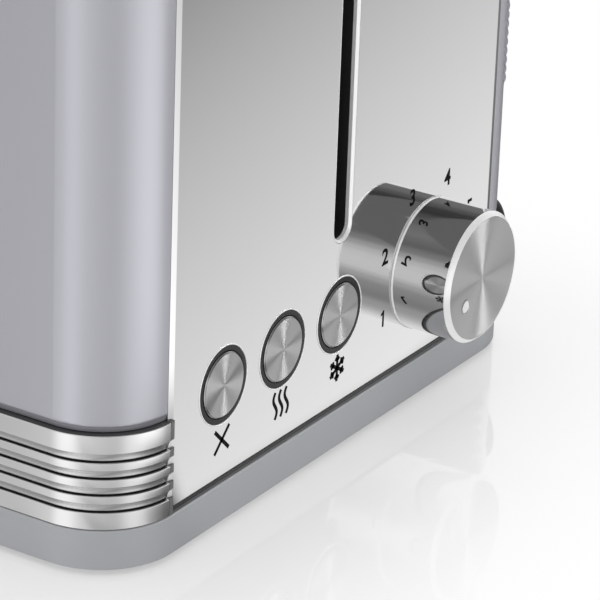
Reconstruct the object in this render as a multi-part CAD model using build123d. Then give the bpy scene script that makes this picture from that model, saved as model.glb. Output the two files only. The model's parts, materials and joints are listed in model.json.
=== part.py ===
from build123d import *
from math import cos, radians, sin
import os

# Two-slice toaster with its controls on the narrow front end. Millimetres.
# +Z is up, the front end faces -Y, the long sides face -X and +X.
# The origin is on the floor, under the middle of everything that sticks out.

os.makedirs("parts", exist_ok=True)

# Overall body
BODY_WIDTH = 191.6
BODY_LENGTH = 290.0
BODY_HEIGHT = 200.0
END_RADIUS = 20.3
TOP_RADIUS = 40.0
SHELL_WALL = 1.2
SHELL_HEM_DEPTH = 2.4
SHELL_HEM_HEIGHT = 3.0
SHELL_HEM_ROUND = 2.0
SHELL_SEAM = 0.2
FOOT_RISE = 1.5

# Base and feet
BASE_HEIGHT = 10.7
BASE_FLOOR = 2.0
BASE_WALL = 6.4
BASE_RIM_WALL = 2.0
BASE_RIM_HEIGHT = 5.8
BASE_EDGE_RADIUS = 0.4
FOOT_RADIUS = 8.0
FOOT_PLUG_RADIUS = 4.0
FOOT_EDGE_INSET = 18.0
FOOT_END_INSET = 24.0
FOOT_ROUND = 0.5

# Ribbed bands along the long sides
BAND_PROUD = 1.2
BAND_HEIGHT = 24.9
BAND_BACK = 1.2
BAND_SEAT_GAP = 0.2
BAND_SHELL_GAP = 0.9
GASKET_INSET = 0.7
GROOVE_COUNT = 4
GROOVE_HEIGHT = 1.8
GROOVE_PITCH = 4.47
GROOVE_DEPTH = 1.1
BAND_LIP_WALL = 1.0
BAND_LIP_HEIGHT = 5.0
BAND_LIP_STEP = 3.0

# End panels
PANEL_OVERLAP = 1.0
PANEL_SHEET = 1.0
PANEL_PROUD = 0.4
PANEL_BEVEL = 1.8
PANEL_BASE_GAP = 1.5
PANEL_FLANGE = 3.0
PANEL_FLANGE_WALL = 0.8
PANEL_NECK = 1.8

# Top plate and bread slots
SLOT_CENTRE = 29.0
SLOT_WIDTH = 34.0
SLOT_END_GAP = 11.5
SLOT_CORNER = 6.0
SLOT_LIP_DEPTH = 6.0
TOP_SHEET = 1.0
TOP_PLATE_WIDTH = 108.0
TOP_PLATE_END = 27.0
TOP_PLATE_CORNER = 14.0
TOP_PLATE_OVERLAP = 1.6
TOP_FLANGE_DEPTH = 3.0

# Toasting chamber
CHASSIS_SHEET = 1.0
END_BAY = 53.5
CHASSIS_INSET = 8.0
CHASSIS_FOOT = 12.0
CHASSIS_FOOT_WIDTH = 16.0
BOARD_SHEET = 0.8
BOARD_SPREAD = 58.0
BOARD_LOW = 20.0
BOARD_HIGH = 184.0
BOARD_TAB = 14.0
BOARD_TAB_INSET = 34.0
RIBBON_WIDTH = 2.4
RIBBON_THICK = 0.3
RIBBON_COUNT = 10
SHIELD_SPREAD = 67.0
SHIELD_SHEET = 0.6

# Bread guards
GUARD_WIRE = 1.6
GUARD_RAIL = 2.2
GUARD_COUNT = 12
GUARD_OPEN = 18.0
GUARD_CLOSING = 5.0
GUARD_RAIL_LOW = 26.0
GUARD_RAIL_HIGH = 186.0

# Lever, carriage and racks
LEVER_TRAVEL = 82.0
LEVER_OVERLIFT = 8.0
LEVER_HEIGHT = 151.5
LEVER_ARM_WIDTH = 3.0
LEVER_ARM_HEIGHT = 8.0
LEVER_SLOT_WIDTH = 7.4
LEVER_SLOT_LOW = 59.7
SLOT_TRIM_WALL = 0.7
SLOT_TRIM_EDGE = 0.1
HANDLE_WIDTH = 36.0
HANDLE_HEIGHT = 15.0
HANDLE_DEPTH = 20.0
HANDLE_GAP = 5.0
HANDLE_SOCKET = 10.0
HANDLE_SIDE_ROUND = 7.2
HANDLE_FRONT_ROUND = 5.0
LINER_WALL = 1.0
LINER_DEPTH = 14.0
LINER_FLANGE = 5.0
RACK_HEIGHT = 112.0
RACK_STRIP = 1.5
RACK_STRIP_HEIGHT = 8.0
RACK_RUNG_LENGTH = 20.0
RACK_RUNG_WIRE = 2.0
RACK_RUNG_COUNT = 11
RACK_SLIT = 6.0
CARRIAGE_SHEET = 1.5
CARRIAGE_REACH = 9.0
CARRIAGE_HALF = 36.0
CARRIAGE_LEG = 10.0
CARRIAGE_BAR = 30.0

# Guide rod and return spring
ROD_RADIUS = 2.5
ROD_X = -16.0
ROD_REACH = 17.0
ROD_LOW = 28.0
ROD_HIGH = 174.0
BRACKET_SHEET = 2.0
BRACKET_WIDTH = 16.0
BUSH_RADIUS = 6.0
BUSH_LENGTH = 28.0
BUSH_CLEARANCE = 0.08
SPRING_WIRE = 1.0
SPRING_RADIUS = 4.5
SPRING_TURNS = 14
SPRING_GAP = 0.2

# Holding magnet
MAGNET_X = 18.0
MAGNET_REACH = 18.0
MAGNET_CORE_RADIUS = 3.0
MAGNET_COIL_RADIUS = 7.0
MAGNET_COIL_WALL = 3.6
MAGNET_FLANGE = 1.0
MAGNET_GAP = 0.4
KEEPER_SIZE = 12.0
KEEPER_SHEET = 1.5

# Browning knob
CONTROL_HEIGHT = 38.8
KNOB_EDGE = 33.2
KNOB_RADIUS = 18.0
KNOB_LENGTH = 17.5
KNOB_GAP = 0.25
KNOB_REAR_CHAMFER = 0.7
KNOB_CHAMFER = 1.2
KNOB_WALL = 1.6
KNOB_FACE_WALL = 2.0
KNOB_FACE_INLAY = 0.8
KNOB_HUB_RADIUS = 6.0
KNOB_DOT_RADIUS = 2.1
KNOB_DOT_ORBIT = 9.9
KNOB_REST_ANGLE = 214.0
SHAFT_RADIUS = 3.0
SHAFT_CLEARANCE = 0.08
SHAFT_END_GAP = 2.0
KNOB_WEB_STEP = 2.0
POT_RADIUS = 9.0
POT_DEPTH = 8.0

# Push buttons
BUTTON_EDGE = 23.3
BUTTON_COUNT = 3
BUTTON_RADIUS = 8.4
BUTTON_PROUD = 0.5
BUTTON_THICK = 3.0
BUTTON_DISC = 0.6
BUTTON_RIM = 0.3
BUTTON_RIM_DROP = 0.1
BUTTON_CLEARANCE = 0.35
BUTTON_TRAVEL = 2.0
BEZEL_RADIUS = 10.25
BEZEL_DEPTH = 10.0
BEZEL_PROUD = 0.1
STEM_RADIUS = 2.6
STEM_TIP = 1.6

# Control board
PCB_DEPTH = 20.0
PCB_SHEET = 1.6
PCB_SIDE_GAP = 6.5
PCB_LOW = 22.0
PCB_HIGH = 56.0
PCB_POST_RADIUS = 3.0
PCB_POST_INSET = 5.0
SWITCH_SIZE = 6.0
SWITCH_DEPTH = 4.3

# Louvred vent and cord inlet on the front right corner
VENT_LOW = 78.2
VENT_PITCH = 2.57
VENT_COUNT = 27
VENT_SLIT = 0.9
VENT_PROUD = 0.45
VENT_START = 18.0
VENT_END = 78.0
VENT_RAIL = 4.0
GLAND_ANGLE = 50.0
GLAND_HEIGHT = 32.0
GLAND_RADIUS = 7.6
GLAND_PROUD = 2.4
GLAND_DEPTH = 6.0
GLAND_ROUND = 2.1
GLAND_BORE = 3.75

# Crumb tray
TRAY_HALF = 64.0
TRAY_SHEET = 0.8
TRAY_HEIGHT = 6.0
TRAY_FRONT_GAP = 4.0
TRAY_HANDLE_HALF = 40.0
TRAY_HANDLE_DEPTH = 9.0
TRAY_HANDLE_HEIGHT = 8.0
TRAY_HANDLE_ROUND = 1.0

# Screws and small blocks
SCREW_RADIUS = 1.5
SCREW_HEAD_RADIUS = 3.0
SCREW_HEAD = 1.1
SCREW_LENGTH = 7.0
TERMINAL_SIZE = 14.0
TERMINAL_PITCH = 5.6
TERMINAL_GAP = 4.8

# Clearances between pieces
SEAT = 0.1
RUN = 0.3

# How far a cut runs past the faces that it opens
CUT = 1.0

# Sizes that follow from the ones above
half_width = BODY_WIDTH / 2
half_length = BODY_LENGTH / 2
body_low = FOOT_RISE
body_top = FOOT_RISE + BODY_HEIGHT
base_top = body_low + BASE_HEIGHT
base_floor_top = body_low + BASE_FLOOR
band_low = base_top + BAND_SEAT_GAP
band_top = band_low + BAND_HEIGHT
shell_low = band_top + BAND_SHELL_GAP
corner_x = half_width - END_RADIUS
corner_y = half_length - END_RADIUS
panel_inset = END_RADIUS - PANEL_OVERLAP
panel_half = half_width - panel_inset
panel_low = base_top + PANEL_BASE_GAP
panel_high = body_top - panel_inset
panel_face = half_length + PANEL_PROUD
panel_back = panel_face - PANEL_SHEET
chassis_y = half_length - END_BAY
slot_length = 2 * (chassis_y - SLOT_END_GAP)
top_plate_length = slot_length + 2 * TOP_PLATE_END
knob_x = panel_half - KNOB_EDGE
button_pitch = (panel_half - BUTTON_EDGE) / (BUTTON_COUNT - 1)
chassis_front = -(chassis_y + CHASSIS_SHEET)
arm_y_back = chassis_front - CARRIAGE_REACH
handle_back = -(panel_face + HANDLE_GAP)
handle_front = handle_back - HANDLE_DEPTH
rod_y = chassis_front - ROD_REACH
slot_high = LEVER_HEIGHT + LEVER_ARM_HEIGHT / 2 + LEVER_OVERLIFT + 4 * RUN
bush_top = LEVER_HEIGHT + LEVER_ARM_HEIGHT / 2
bush_low = bush_top - BUSH_LENGTH
spring_low = ROD_LOW + BRACKET_SHEET + SPRING_GAP
spring_high = bush_low - SPRING_GAP
keeper_top = RACK_HEIGHT - RACK_STRIP_HEIGHT
keeper_low = keeper_top - KEEPER_SHEET
magnet_top = keeper_low - LEVER_TRAVEL - MAGNET_GAP
pcb_face = -(panel_face - PCB_DEPTH)
pcb_half = panel_half - PCB_SIDE_GAP
tray_low = base_floor_top + RUN
tray_back = half_length + BAND_PROUD + RUN
tray_front = -(chassis_y - TRAY_FRONT_GAP)
front_reach = -handle_front
rear_reach = tray_back + TRAY_HANDLE_DEPTH
middle_y = (front_reach - rear_reach) / 2


def save(name, shape):
    """Moves a piece from the body's middle to the part's frame and writes it."""
    solids = shape.solids()
    placed = [Pos(0, middle_y, 0) * s for s in solids]
    out = placed[0] if len(placed) == 1 else Compound(children=placed)
    out.label = name
    export_step(out, f"parts/{name}.step")


def block(x0, x1, y0, y1, z0, z1):
    """A box between two corners."""
    size = Box(x1 - x0, y1 - y0, z1 - z0)
    return Pos((x0 + x1) / 2, (y0 + y1) / 2, (z0 + z1) / 2) * size


def rod_z(x, y, z0, z1, radius):
    return Pos(x, y, (z0 + z1) / 2) * Cylinder(radius, z1 - z0)


def rod_y_axis(x, z, y0, y1, radius):
    return Pos(x, (y0 + y1) / 2, z) * Rot(90, 0, 0) * Cylinder(radius, y1 - y0)


def rod_x_axis(y, z, x0, x1, radius):
    return Pos((x0 + x1) / 2, y, z) * Rot(0, 90, 0) * Cylinder(radius, x1 - x0)


def upright(inset, z_low):
    """The body's end outline in the XZ plane, moved in by inset."""
    high = body_top - inset
    half = half_width - inset
    flat = Pos(0, (z_low + high) / 2) * Rectangle(2 * half, high - z_low)
    corners = flat.vertices().sort_by(Axis.Y)[-2:]
    return Plane.XZ * fillet(corners, TOP_RADIUS - inset)


def plan(offset):
    """The body's outline seen from above, moved out by offset."""
    return RectangleRounded(
        BODY_WIDTH + 2 * offset, BODY_LENGTH + 2 * offset, END_RADIUS + offset
    )


def ring(outer, inner, z0, z1):
    """A wall that follows the body's plan outline between two offsets."""
    return Pos(0, 0, z0) * extrude(plan(outer) - plan(inner), z1 - z0)


def pillow(inset, z_low):
    """The body's rounded block, moved in by inset."""
    body = extrude(upright(inset, z_low), half_length - inset, both=True)
    ends = body.faces().filter_by(Axis.Y).edges()
    ends = ends.filter_by(lambda e: e.center().Z > z_low + END_RADIUS / 4)
    return fillet(ends, END_RADIUS - inset)


def corner_wedge(r0, r1, z0, z1, a0, a1):
    """A sector round the front right corner's axis. Angles run from -Y to +X."""
    reach = 2 * r1
    rays = [(0, 0)]
    for a in (a0, (a0 + a1) / 2, a1):
        rays.append((reach * sin(radians(a)), -reach * cos(radians(a))))
    flat = (Circle(r1) - Circle(r0)) & make_face(Polyline(*rays, close=True))
    return Pos(corner_x, -corner_y, z0) * extrude(flat, z1 - z0)


def gland_rod(r, reach0, reach1):
    """A cylinder along the cord inlet's axis between two distances from the corner's axis."""
    out = (sin(radians(GLAND_ANGLE)), -cos(radians(GLAND_ANGLE)), 0)
    mid = (reach0 + reach1) / 2
    centre = (corner_x + mid * out[0], -corner_y + mid * out[1], GLAND_HEIGHT)
    return Plane(origin=centre, z_dir=out) * Cylinder(r, reach1 - reach0)


def foot_places():
    x = half_width - FOOT_EDGE_INSET
    y = half_length - FOOT_END_INSET
    return [(sx * x, sy * y) for sx in (-1, 1) for sy in (-1, 1)]


def chassis_screw_places():
    x = half_width - CHASSIS_INSET - CHASSIS_FOOT_WIDTH / 2
    y = chassis_y + CHASSIS_SHEET + CHASSIS_FOOT / 2
    return [(sx * x, sy * y) for sx in (-1, 1) for sy in (-1, 1)]


def base():
    """Moulded tray-shaped base with a locating rim, foot holes and the tray's slot."""
    body = extrude(plan(BAND_PROUD), BASE_HEIGHT)
    body = fillet(body.faces().filter_by(Axis.Z).edges(), BASE_EDGE_RADIUS)
    body = Pos(0, 0, body_low) * body
    inner = BAND_PROUD - BASE_WALL
    body -= Pos(0, 0, base_floor_top) * extrude(plan(inner), BASE_HEIGHT)
    rim_top = base_top + BASE_RIM_HEIGHT
    body += ring(inner + BASE_RIM_WALL, inner, base_top - BASE_RIM_WALL, rim_top)
    for x, y in foot_places():
        body -= rod_z(x, y, body_low - CUT, base_floor_top + CUT, FOOT_PLUG_RADIUS + SEAT)
    for x, y in chassis_screw_places():
        body -= rod_z(x, y, body_low - CUT, base_floor_top + CUT, SCREW_RADIUS + SEAT)
    open_half = TRAY_HALF + RUN
    open_top = tray_low + TRAY_HEIGHT + RUN
    tunnel = block(-open_half, open_half, half_length + inner - CUT,
                   half_length + BAND_PROUD + CUT, base_floor_top, open_top)
    return body - tunnel


def rubber_feet():
    """Four rubber feet, each a round pad with a plug through the base's floor."""
    feet = []
    for x, y in foot_places():
        pad = rod_z(x, y, 0, body_low, FOOT_RADIUS)
        pad = fillet(pad.edges().sort_by(Axis.Z)[0], FOOT_ROUND)
        feet.append(pad + rod_z(x, y, body_low, base_floor_top, FOOT_PLUG_RADIUS))
    return Compound(children=feet)


def band(side):
    """Ribbed band round one long side and its two corners."""
    wrap = ring(BAND_PROUD, -BAND_BACK, band_low, band_top)
    stack = GROOVE_PITCH * (GROOVE_COUNT - 1) + GROOVE_HEIGHT
    first = band_low + (BAND_HEIGHT - stack) / 2
    for i in range(GROOVE_COUNT):
        z = first + i * GROOVE_PITCH
        wrap -= ring(BAND_PROUD + CUT, BAND_PROUD - GROOVE_DEPTH, z, z + GROOVE_HEIGHT)
    lip_outer = -(SHELL_HEM_DEPTH + SEAT)
    lip = ring(lip_outer, lip_outer - BAND_LIP_WALL, band_top - BAND_LIP_STEP,
               band_top + BAND_LIP_HEIGHT)
    lip += ring(-BAND_BACK + SEAT, lip_outer - BAND_LIP_WALL,
                band_top - BAND_LIP_STEP, band_top)
    lip = lip & Box(BODY_WIDTH, 2 * corner_y, 4 * BODY_HEIGHT)
    wrap += lip
    far = half_width + 2 * BAND_PROUD
    long = half_length + 2 * BAND_PROUD
    keep = block(panel_half, far, -long, long, 0, body_top)
    if side < 0:
        keep = mirror(keep, Plane.YZ)
    wrap = wrap & keep
    if side > 0:
        wrap -= gland_rod(GLAND_RADIUS + SEAT, END_RADIUS / 2, END_RADIUS * 2)
    return wrap


def gaskets():
    """Two dark seal strips, each in the gap between the shell and one band."""
    strip = ring(-GASKET_INSET, SEAT - PANEL_NECK, band_top, shell_low)
    flange_x = panel_half + PANEL_FLANGE + SEAT
    flange_y = half_length - PANEL_NECK + SEAT
    strip -= block(-flange_x, flange_x, -flange_y, flange_y, 0, body_top)
    right = strip & block(panel_half, half_width, -half_length, half_length, 0, body_top)
    left = mirror(right, Plane.YZ)
    right -= gland_rod(GLAND_RADIUS + SEAT, END_RADIUS / 2, END_RADIUS * 2)
    return Compound(children=left.solids() + right.solids())


def panel_outline(grow, low):
    return upright(panel_inset - grow, low)


def shell():
    """Painted body, open below, at both ends and over the bread slots."""
    skin = pillow(0, shell_low) - pillow(SHELL_WALL, shell_low - END_RADIUS)
    skin += ring(-SHELL_WALL / 2, -SHELL_HEM_DEPTH, shell_low, shell_low + SHELL_HEM_HEIGHT)
    foot = skin.faces().filter_by(Axis.Z).sort_by(Axis.Z)[0]
    skin = fillet(foot.outer_wire().edges(), SHELL_HEM_ROUND)
    flange_half = panel_half + PANEL_FLANGE + SEAT
    skin -= block(-flange_half, flange_half, SHELL_WALL - half_length,
                  half_length - SHELL_WALL, shell_low - CUT, shell_low + SHELL_HEM_HEIGHT)
    skin -= extrude(panel_outline(SEAT, shell_low - CUT), BODY_LENGTH, both=True)
    opening = RectangleRounded(TOP_PLATE_WIDTH - 2 * TOP_PLATE_OVERLAP,
                               top_plate_length - 2 * TOP_PLATE_OVERLAP,
                               TOP_PLATE_CORNER - TOP_PLATE_OVERLAP)
    skin -= Pos(0, 0, panel_high) * extrude(opening, BODY_HEIGHT)
    skin -= corner_wedge(END_RADIUS / 2, END_RADIUS * 1.5, vent_low_edge() - SEAT,
                         vent_high_edge() + SEAT, VENT_START, VENT_END)
    skin -= gland_rod(GLAND_RADIUS + SEAT, END_RADIUS / 2, END_RADIUS * 2)
    return skin


def shell_half(whole, side):
    """The painted body's left or right half. The halves meet on the centre line."""
    x0, x1 = sorted((side * SHELL_SEAM / 2, side * BODY_WIDTH))
    return whole & block(x0, x1, -BODY_LENGTH, BODY_LENGTH, 0, body_top + CUT)


def end_panel():
    """Polished end plate: a shallow bevelled tray held by a flange behind the shell."""
    outer = panel_outline(0, panel_low)
    face = panel_outline(-PANEL_BEVEL, panel_low)
    rim = Pos(0, -half_length, 0) * outer
    front = Pos(0, -panel_face, 0) * face
    plate = loft([rim, front], ruled=True)
    plate += Pos(0, -half_length + PANEL_NECK, 0) * extrude(outer, PANEL_NECK)
    flange = Pos(0, -half_length + PANEL_NECK + PANEL_FLANGE_WALL, 0) * extrude(
        panel_outline(PANEL_FLANGE, panel_low), PANEL_FLANGE_WALL)
    plate += flange
    hollow = panel_outline(-PANEL_BEVEL - PANEL_SHEET, panel_low + 2 * PANEL_SHEET)
    depth = half_length - panel_back + 2 * PANEL_NECK
    plate -= Pos(0, -panel_back + depth, 0) * extrude(hollow, depth)
    return plate


def button_places():
    return [(-i * button_pitch, CONTROL_HEIGHT) for i in range(BUTTON_COUNT)]


def lever_slot(grow, y0, y1):
    """The upright slot for the lever, with a round lower end."""
    half = LEVER_SLOT_WIDTH / 2 + grow
    low = LEVER_SLOT_LOW - grow
    body = block(-half, half, y0, y1, low + half, slot_high + grow)
    return body + rod_y_axis(0, low + half, y0, y1, half)


def lever_slot_outline(grow, y):
    """The lever slot's outline on the upright plane at y."""
    half = LEVER_SLOT_WIDTH / 2 + grow
    low = LEVER_SLOT_LOW - grow + half
    high = slot_high + grow
    right = Line((half, low), (half, high))
    top = Line((half, high), (-half, high))
    left = Line((-half, high), (-half, low))
    foot = ThreePointArc((-half, low), (0, low - half), (half, low))
    return Plane(origin=(0, y, 0), x_dir=(1, 0, 0), z_dir=(0, -1, 0)) * make_face(
        Curve() + [right, top, left, foot])


def slot_trim():
    """Bright bevelled ring that edges the lever slot."""
    ring_body = lever_slot(SLOT_TRIM_WALL, -panel_face, -panel_back)
    mouth = lever_slot_outline(SLOT_TRIM_WALL - SLOT_TRIM_EDGE, -panel_face)
    throat = lever_slot_outline(0, -panel_back)
    return ring_body - loft([mouth, throat], ruled=True)


def front_panel():
    """Front end plate with the lever slot, three button holes and the shaft hole."""
    plate = end_panel()
    y0 = -panel_face - CUT
    y1 = -panel_back + CUT
    plate -= lever_slot(SLOT_TRIM_WALL + SEAT, y0, y1)
    for x, z in button_places():
        plate -= rod_y_axis(x, z, y0, y1, BEZEL_RADIUS + SEAT)
    plate -= rod_y_axis(knob_x, CONTROL_HEIGHT, y0, y1, SHAFT_RADIUS + RUN)
    return plate


def rear_panel():
    return mirror(end_panel(), Plane.XZ)


def top_plate():
    """Polished plate round the two bread slots, with lips that turn down into them."""
    seat = body_top
    sheet = extrude(RectangleRounded(TOP_PLATE_WIDTH, top_plate_length,
                                     TOP_PLATE_CORNER), TOP_SHEET)
    sheet = fillet(sheet.edges().group_by(Axis.Z)[-1], TOP_SHEET / 2)
    plate = Pos(0, 0, seat) * sheet
    inset = TOP_PLATE_OVERLAP + SEAT
    outer = RectangleRounded(TOP_PLATE_WIDTH - 2 * inset, top_plate_length - 2 * inset,
                             TOP_PLATE_CORNER - inset)
    inner = RectangleRounded(TOP_PLATE_WIDTH - 2 * inset - 2 * TOP_SHEET,
                             top_plate_length - 2 * inset - 2 * TOP_SHEET,
                             TOP_PLATE_CORNER - inset - TOP_SHEET)
    plate += Pos(0, 0, seat - TOP_FLANGE_DEPTH) * extrude(outer - inner, TOP_FLANGE_DEPTH)
    for x in (-SLOT_CENTRE, SLOT_CENTRE):
        lip = RectangleRounded(SLOT_WIDTH + 2 * TOP_SHEET, slot_length + 2 * TOP_SHEET,
                               SLOT_CORNER + TOP_SHEET)
        plate += Pos(x, 0, seat - SLOT_LIP_DEPTH) * extrude(lip, SLOT_LIP_DEPTH)
    for x in (-SLOT_CENTRE, SLOT_CENTRE):
        hole = RectangleRounded(SLOT_WIDTH, slot_length, SLOT_CORNER)
        plate -= Pos(x, 0, seat - 2 * SLOT_LIP_DEPTH) * extrude(hole, 4 * SLOT_LIP_DEPTH)
    return plate


def lever_slot_liner():
    """Black channel behind the lever slot."""
    y_seat = -panel_back
    flange = lever_slot(LINER_FLANGE, y_seat, y_seat + LINER_WALL)
    walls = lever_slot(LINER_WALL, y_seat, y_seat + LINER_DEPTH)
    return flange + walls - lever_slot(0, y_seat - CUT, y_seat + LINER_DEPTH + CUT)


def button_bezels():
    """Three dark rings that line the button holes."""
    rings = []
    for x, z in button_places():
        front = -panel_face - BEZEL_PROUD
        tube = rod_y_axis(x, z, front, front + BEZEL_DEPTH, BEZEL_RADIUS)
        bore = BUTTON_RADIUS + BUTTON_CLEARANCE
        rings.append(tube - rod_y_axis(x, z, front - CUT, front + BEZEL_DEPTH + CUT, bore))
    return Compound(children=rings)


def vent_low_edge():
    return VENT_LOW - VENT_SLIT - VENT_PITCH / 2


def vent_high_edge():
    return VENT_LOW + VENT_COUNT * VENT_PITCH + VENT_PITCH / 2


def vent_louvre():
    """One louvre blade: proud at its lower edge, flush at its upper edge."""
    back = END_RADIUS - SHELL_WALL
    a = radians(VENT_START)
    out = (sin(a), -cos(a), 0)
    side = Plane(origin=(corner_x, -corner_y, VENT_LOW), x_dir=out,
                 z_dir=(-out[1], out[0], 0))
    up = 1 if side.y_dir.Z > 0 else -1
    height = VENT_PITCH - VENT_SLIT
    corners = [(back, 0), (END_RADIUS + VENT_PROUD, 0), (END_RADIUS, up * height),
               (back, up * height)]
    axis = Axis((corner_x, -corner_y, 0), (0, 0, 1))
    blade = side * make_face(Polyline(*corners, close=True))
    return revolve(blade, axis, VENT_END - VENT_START)


def vent_grille():
    """Louvred vent let into the front right corner of the shell."""
    r0 = END_RADIUS - SHELL_WALL
    low, high = vent_low_edge(), vent_high_edge()
    pieces = [
        corner_wedge(r0, END_RADIUS, low, high, VENT_START, VENT_START + VENT_RAIL),
        corner_wedge(r0, END_RADIUS, low, high, VENT_END - VENT_RAIL, VENT_END),
        corner_wedge(r0, END_RADIUS, low, VENT_LOW - VENT_SLIT, VENT_START, VENT_END),
        corner_wedge(r0, END_RADIUS, VENT_LOW + VENT_COUNT * VENT_PITCH, high,
                     VENT_START, VENT_END),
    ]
    blade = vent_louvre()
    for i in range(VENT_COUNT):
        pieces.append(Pos(0, 0, i * VENT_PITCH) * blade)
    return pieces[0].fuse(*pieces[1:])


def cord_gland():
    """Moulded cord inlet with a round lip and a clear bore."""
    outer = END_RADIUS + GLAND_PROUD
    body = gland_rod(GLAND_RADIUS, END_RADIUS - GLAND_DEPTH, outer)
    axis_dir = Vector(sin(radians(GLAND_ANGLE)), -cos(radians(GLAND_ANGLE)), 0)
    rim = body.edges().filter_by(GeomType.CIRCLE)
    rim = rim.sort_by(lambda e: e.center().dot(axis_dir))[-1]
    body = fillet(rim, GLAND_ROUND)
    return body - gland_rod(GLAND_BORE, END_RADIUS - 2 * GLAND_DEPTH, outer + CUT)


def guard_slit(x, z, y0, y1):
    """Slot in a chassis plate for a guard's rail over its whole closing stroke."""
    half = GUARD_RAIL / 2 + RUN
    inward = GUARD_CLOSING + RUN
    toward = 1 if guard_direction(x) > 0 else -1
    x0 = x - toward * (half + RUN * 2)
    x1 = x + toward * (half + inward)
    return block(min(x0, x1), max(x0, x1), y0, y1, z - half, z + half)


def guard_places():
    """Rest places of the four guards: name and x."""
    return [
        ("guard_left_outer", -SLOT_CENTRE - GUARD_OPEN),
        ("guard_left_inner", -SLOT_CENTRE + GUARD_OPEN),
        ("guard_right_inner", SLOT_CENTRE - GUARD_OPEN),
        ("guard_right_outer", SLOT_CENTRE + GUARD_OPEN),
    ]


def guard_direction(x):
    """Sign of the way along X in which a guard closes on the slice."""
    centre = SLOT_CENTRE if x > 0 else -SLOT_CENTRE
    return 1 if centre > x else -1


def chassis_plate():
    """Front chassis plate with feet, slits for racks and guards, and board tabs."""
    y0, y1 = chassis_front, -chassis_y
    low = base_floor_top
    plate = Pos(0, y1, 0) * extrude(upright(CHASSIS_INSET, low), CHASSIS_SHEET)
    cut_half = TRAY_HALF + 2 * RUN
    plate -= block(-cut_half, cut_half, y0 - CUT, y1 + CUT, low - CUT, base_top)
    edge = half_width - CHASSIS_INSET
    for s in (-1, 1):
        x0, x1 = sorted((s * edge, s * (edge - CHASSIS_FOOT_WIDTH)))
        plate += block(x0, x1, y0 - CHASSIS_FOOT, y0, low, low + CHASSIS_SHEET)
        slit_low = RACK_HEIGHT - RACK_STRIP_HEIGHT - LEVER_TRAVEL - 2 * RUN
        slit_high = RACK_HEIGHT + LEVER_OVERLIFT + 2 * RUN
        plate -= block(s * SLOT_CENTRE - RACK_SLIT / 2, s * SLOT_CENTRE + RACK_SLIT / 2,
                       y0 - CUT, y1 + CUT, slit_low, slit_high)
    for _, x in guard_places():
        for z in (GUARD_RAIL_LOW, GUARD_RAIL_HIGH):
            plate -= guard_slit(x, z, y0 - CUT, y1 + CUT)
    for x in (-BOARD_SPREAD, 0, BOARD_SPREAD):
        for z0, z1 in board_tab_spans():
            half = BOARD_SHEET / 2 + SEAT
            plate -= block(x - half, x + half, y0 - CUT, y1 + CUT, z0 - SEAT, z1 + SEAT)
    for x, y in chassis_screw_places():
        if y < 0:
            plate -= rod_z(x, y, low - CUT, low + CHASSIS_SHEET + CUT, SCREW_RADIUS + SEAT)
    return plate


def board_tab_spans():
    low = BOARD_LOW + BOARD_TAB_INSET
    high = BOARD_HIGH - BOARD_TAB_INSET
    return [(low, low + BOARD_TAB), (high - BOARD_TAB, high)]


def heater_board(x):
    """Insulating board between the chassis plates, with two tabs at each end."""
    half = BOARD_SHEET / 2
    board = block(x - half, x + half, -chassis_y, chassis_y, BOARD_LOW, BOARD_HIGH)
    reach = chassis_y + CHASSIS_SHEET
    for z0, z1 in board_tab_spans():
        board += block(x - half, x + half, -reach, reach, z0, z1)
    return board


def heater_ribbons(x, sides):
    """Flat heating ribbons across a board, on the sides that face bread."""
    strips = []
    half_run = slot_length / 2
    step = (BOARD_HIGH - BOARD_LOW) / (RIBBON_COUNT + 1)
    for s in sides:
        face = x + s * BOARD_SHEET / 2
        x0, x1 = sorted((face, face + s * RIBBON_THICK))
        for i in range(RIBBON_COUNT):
            z = BOARD_LOW + (i + 1) * step
            strips.append(block(x0, x1, -half_run, half_run,
                                z - RIBBON_WIDTH / 2, z + RIBBON_WIDTH / 2))
    return Compound(children=strips)


def heat_shield(s):
    """Reflector sheet outside an outer heater."""
    x0, x1 = sorted((s * SHIELD_SPREAD, s * (SHIELD_SPREAD + SHIELD_SHEET)))
    high = body_top - TOP_RADIUS / 2
    return block(x0, x1, -chassis_y, chassis_y, BOARD_LOW, high)


def guard(x):
    """Bread guard: upright wires between two rails that run through the chassis plates."""
    reach = chassis_y + CHASSIS_SHEET + GUARD_RAIL
    pieces = [rod_y_axis(x, z, -reach, reach, GUARD_RAIL / 2)
              for z in (GUARD_RAIL_LOW, GUARD_RAIL_HIGH)]
    span = slot_length - 2 * SLOT_CORNER
    for i in range(GUARD_COUNT):
        y = -span / 2 + i * span / (GUARD_COUNT - 1)
        pieces.append(rod_z(x, y, GUARD_RAIL_LOW, GUARD_RAIL_HIGH, GUARD_WIRE / 2))
    return pieces[0].fuse(*pieces[1:])


def bread_rack(x):
    """Rack that carries one slice: an upright strip with cross rungs on top."""
    z1 = RACK_HEIGHT
    z0 = z1 - RACK_STRIP_HEIGHT
    half = RACK_STRIP / 2
    reach = chassis_y + CHASSIS_SHEET + 2 * RACK_STRIP
    pieces = [block(x - half, x + half, arm_y_back, reach, z0, z1)]
    span = slot_length - 2 * SLOT_CORNER
    for i in range(RACK_RUNG_COUNT):
        y = -span / 2 + i * span / (RACK_RUNG_COUNT - 1)
        pieces.append(rod_x_axis(y, z1 - RACK_RUNG_WIRE / 2, x - RACK_RUNG_LENGTH / 2,
                                 x + RACK_RUNG_LENGTH / 2, RACK_RUNG_WIRE / 2))
    return pieces[0].fuse(*pieces[1:])


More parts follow.
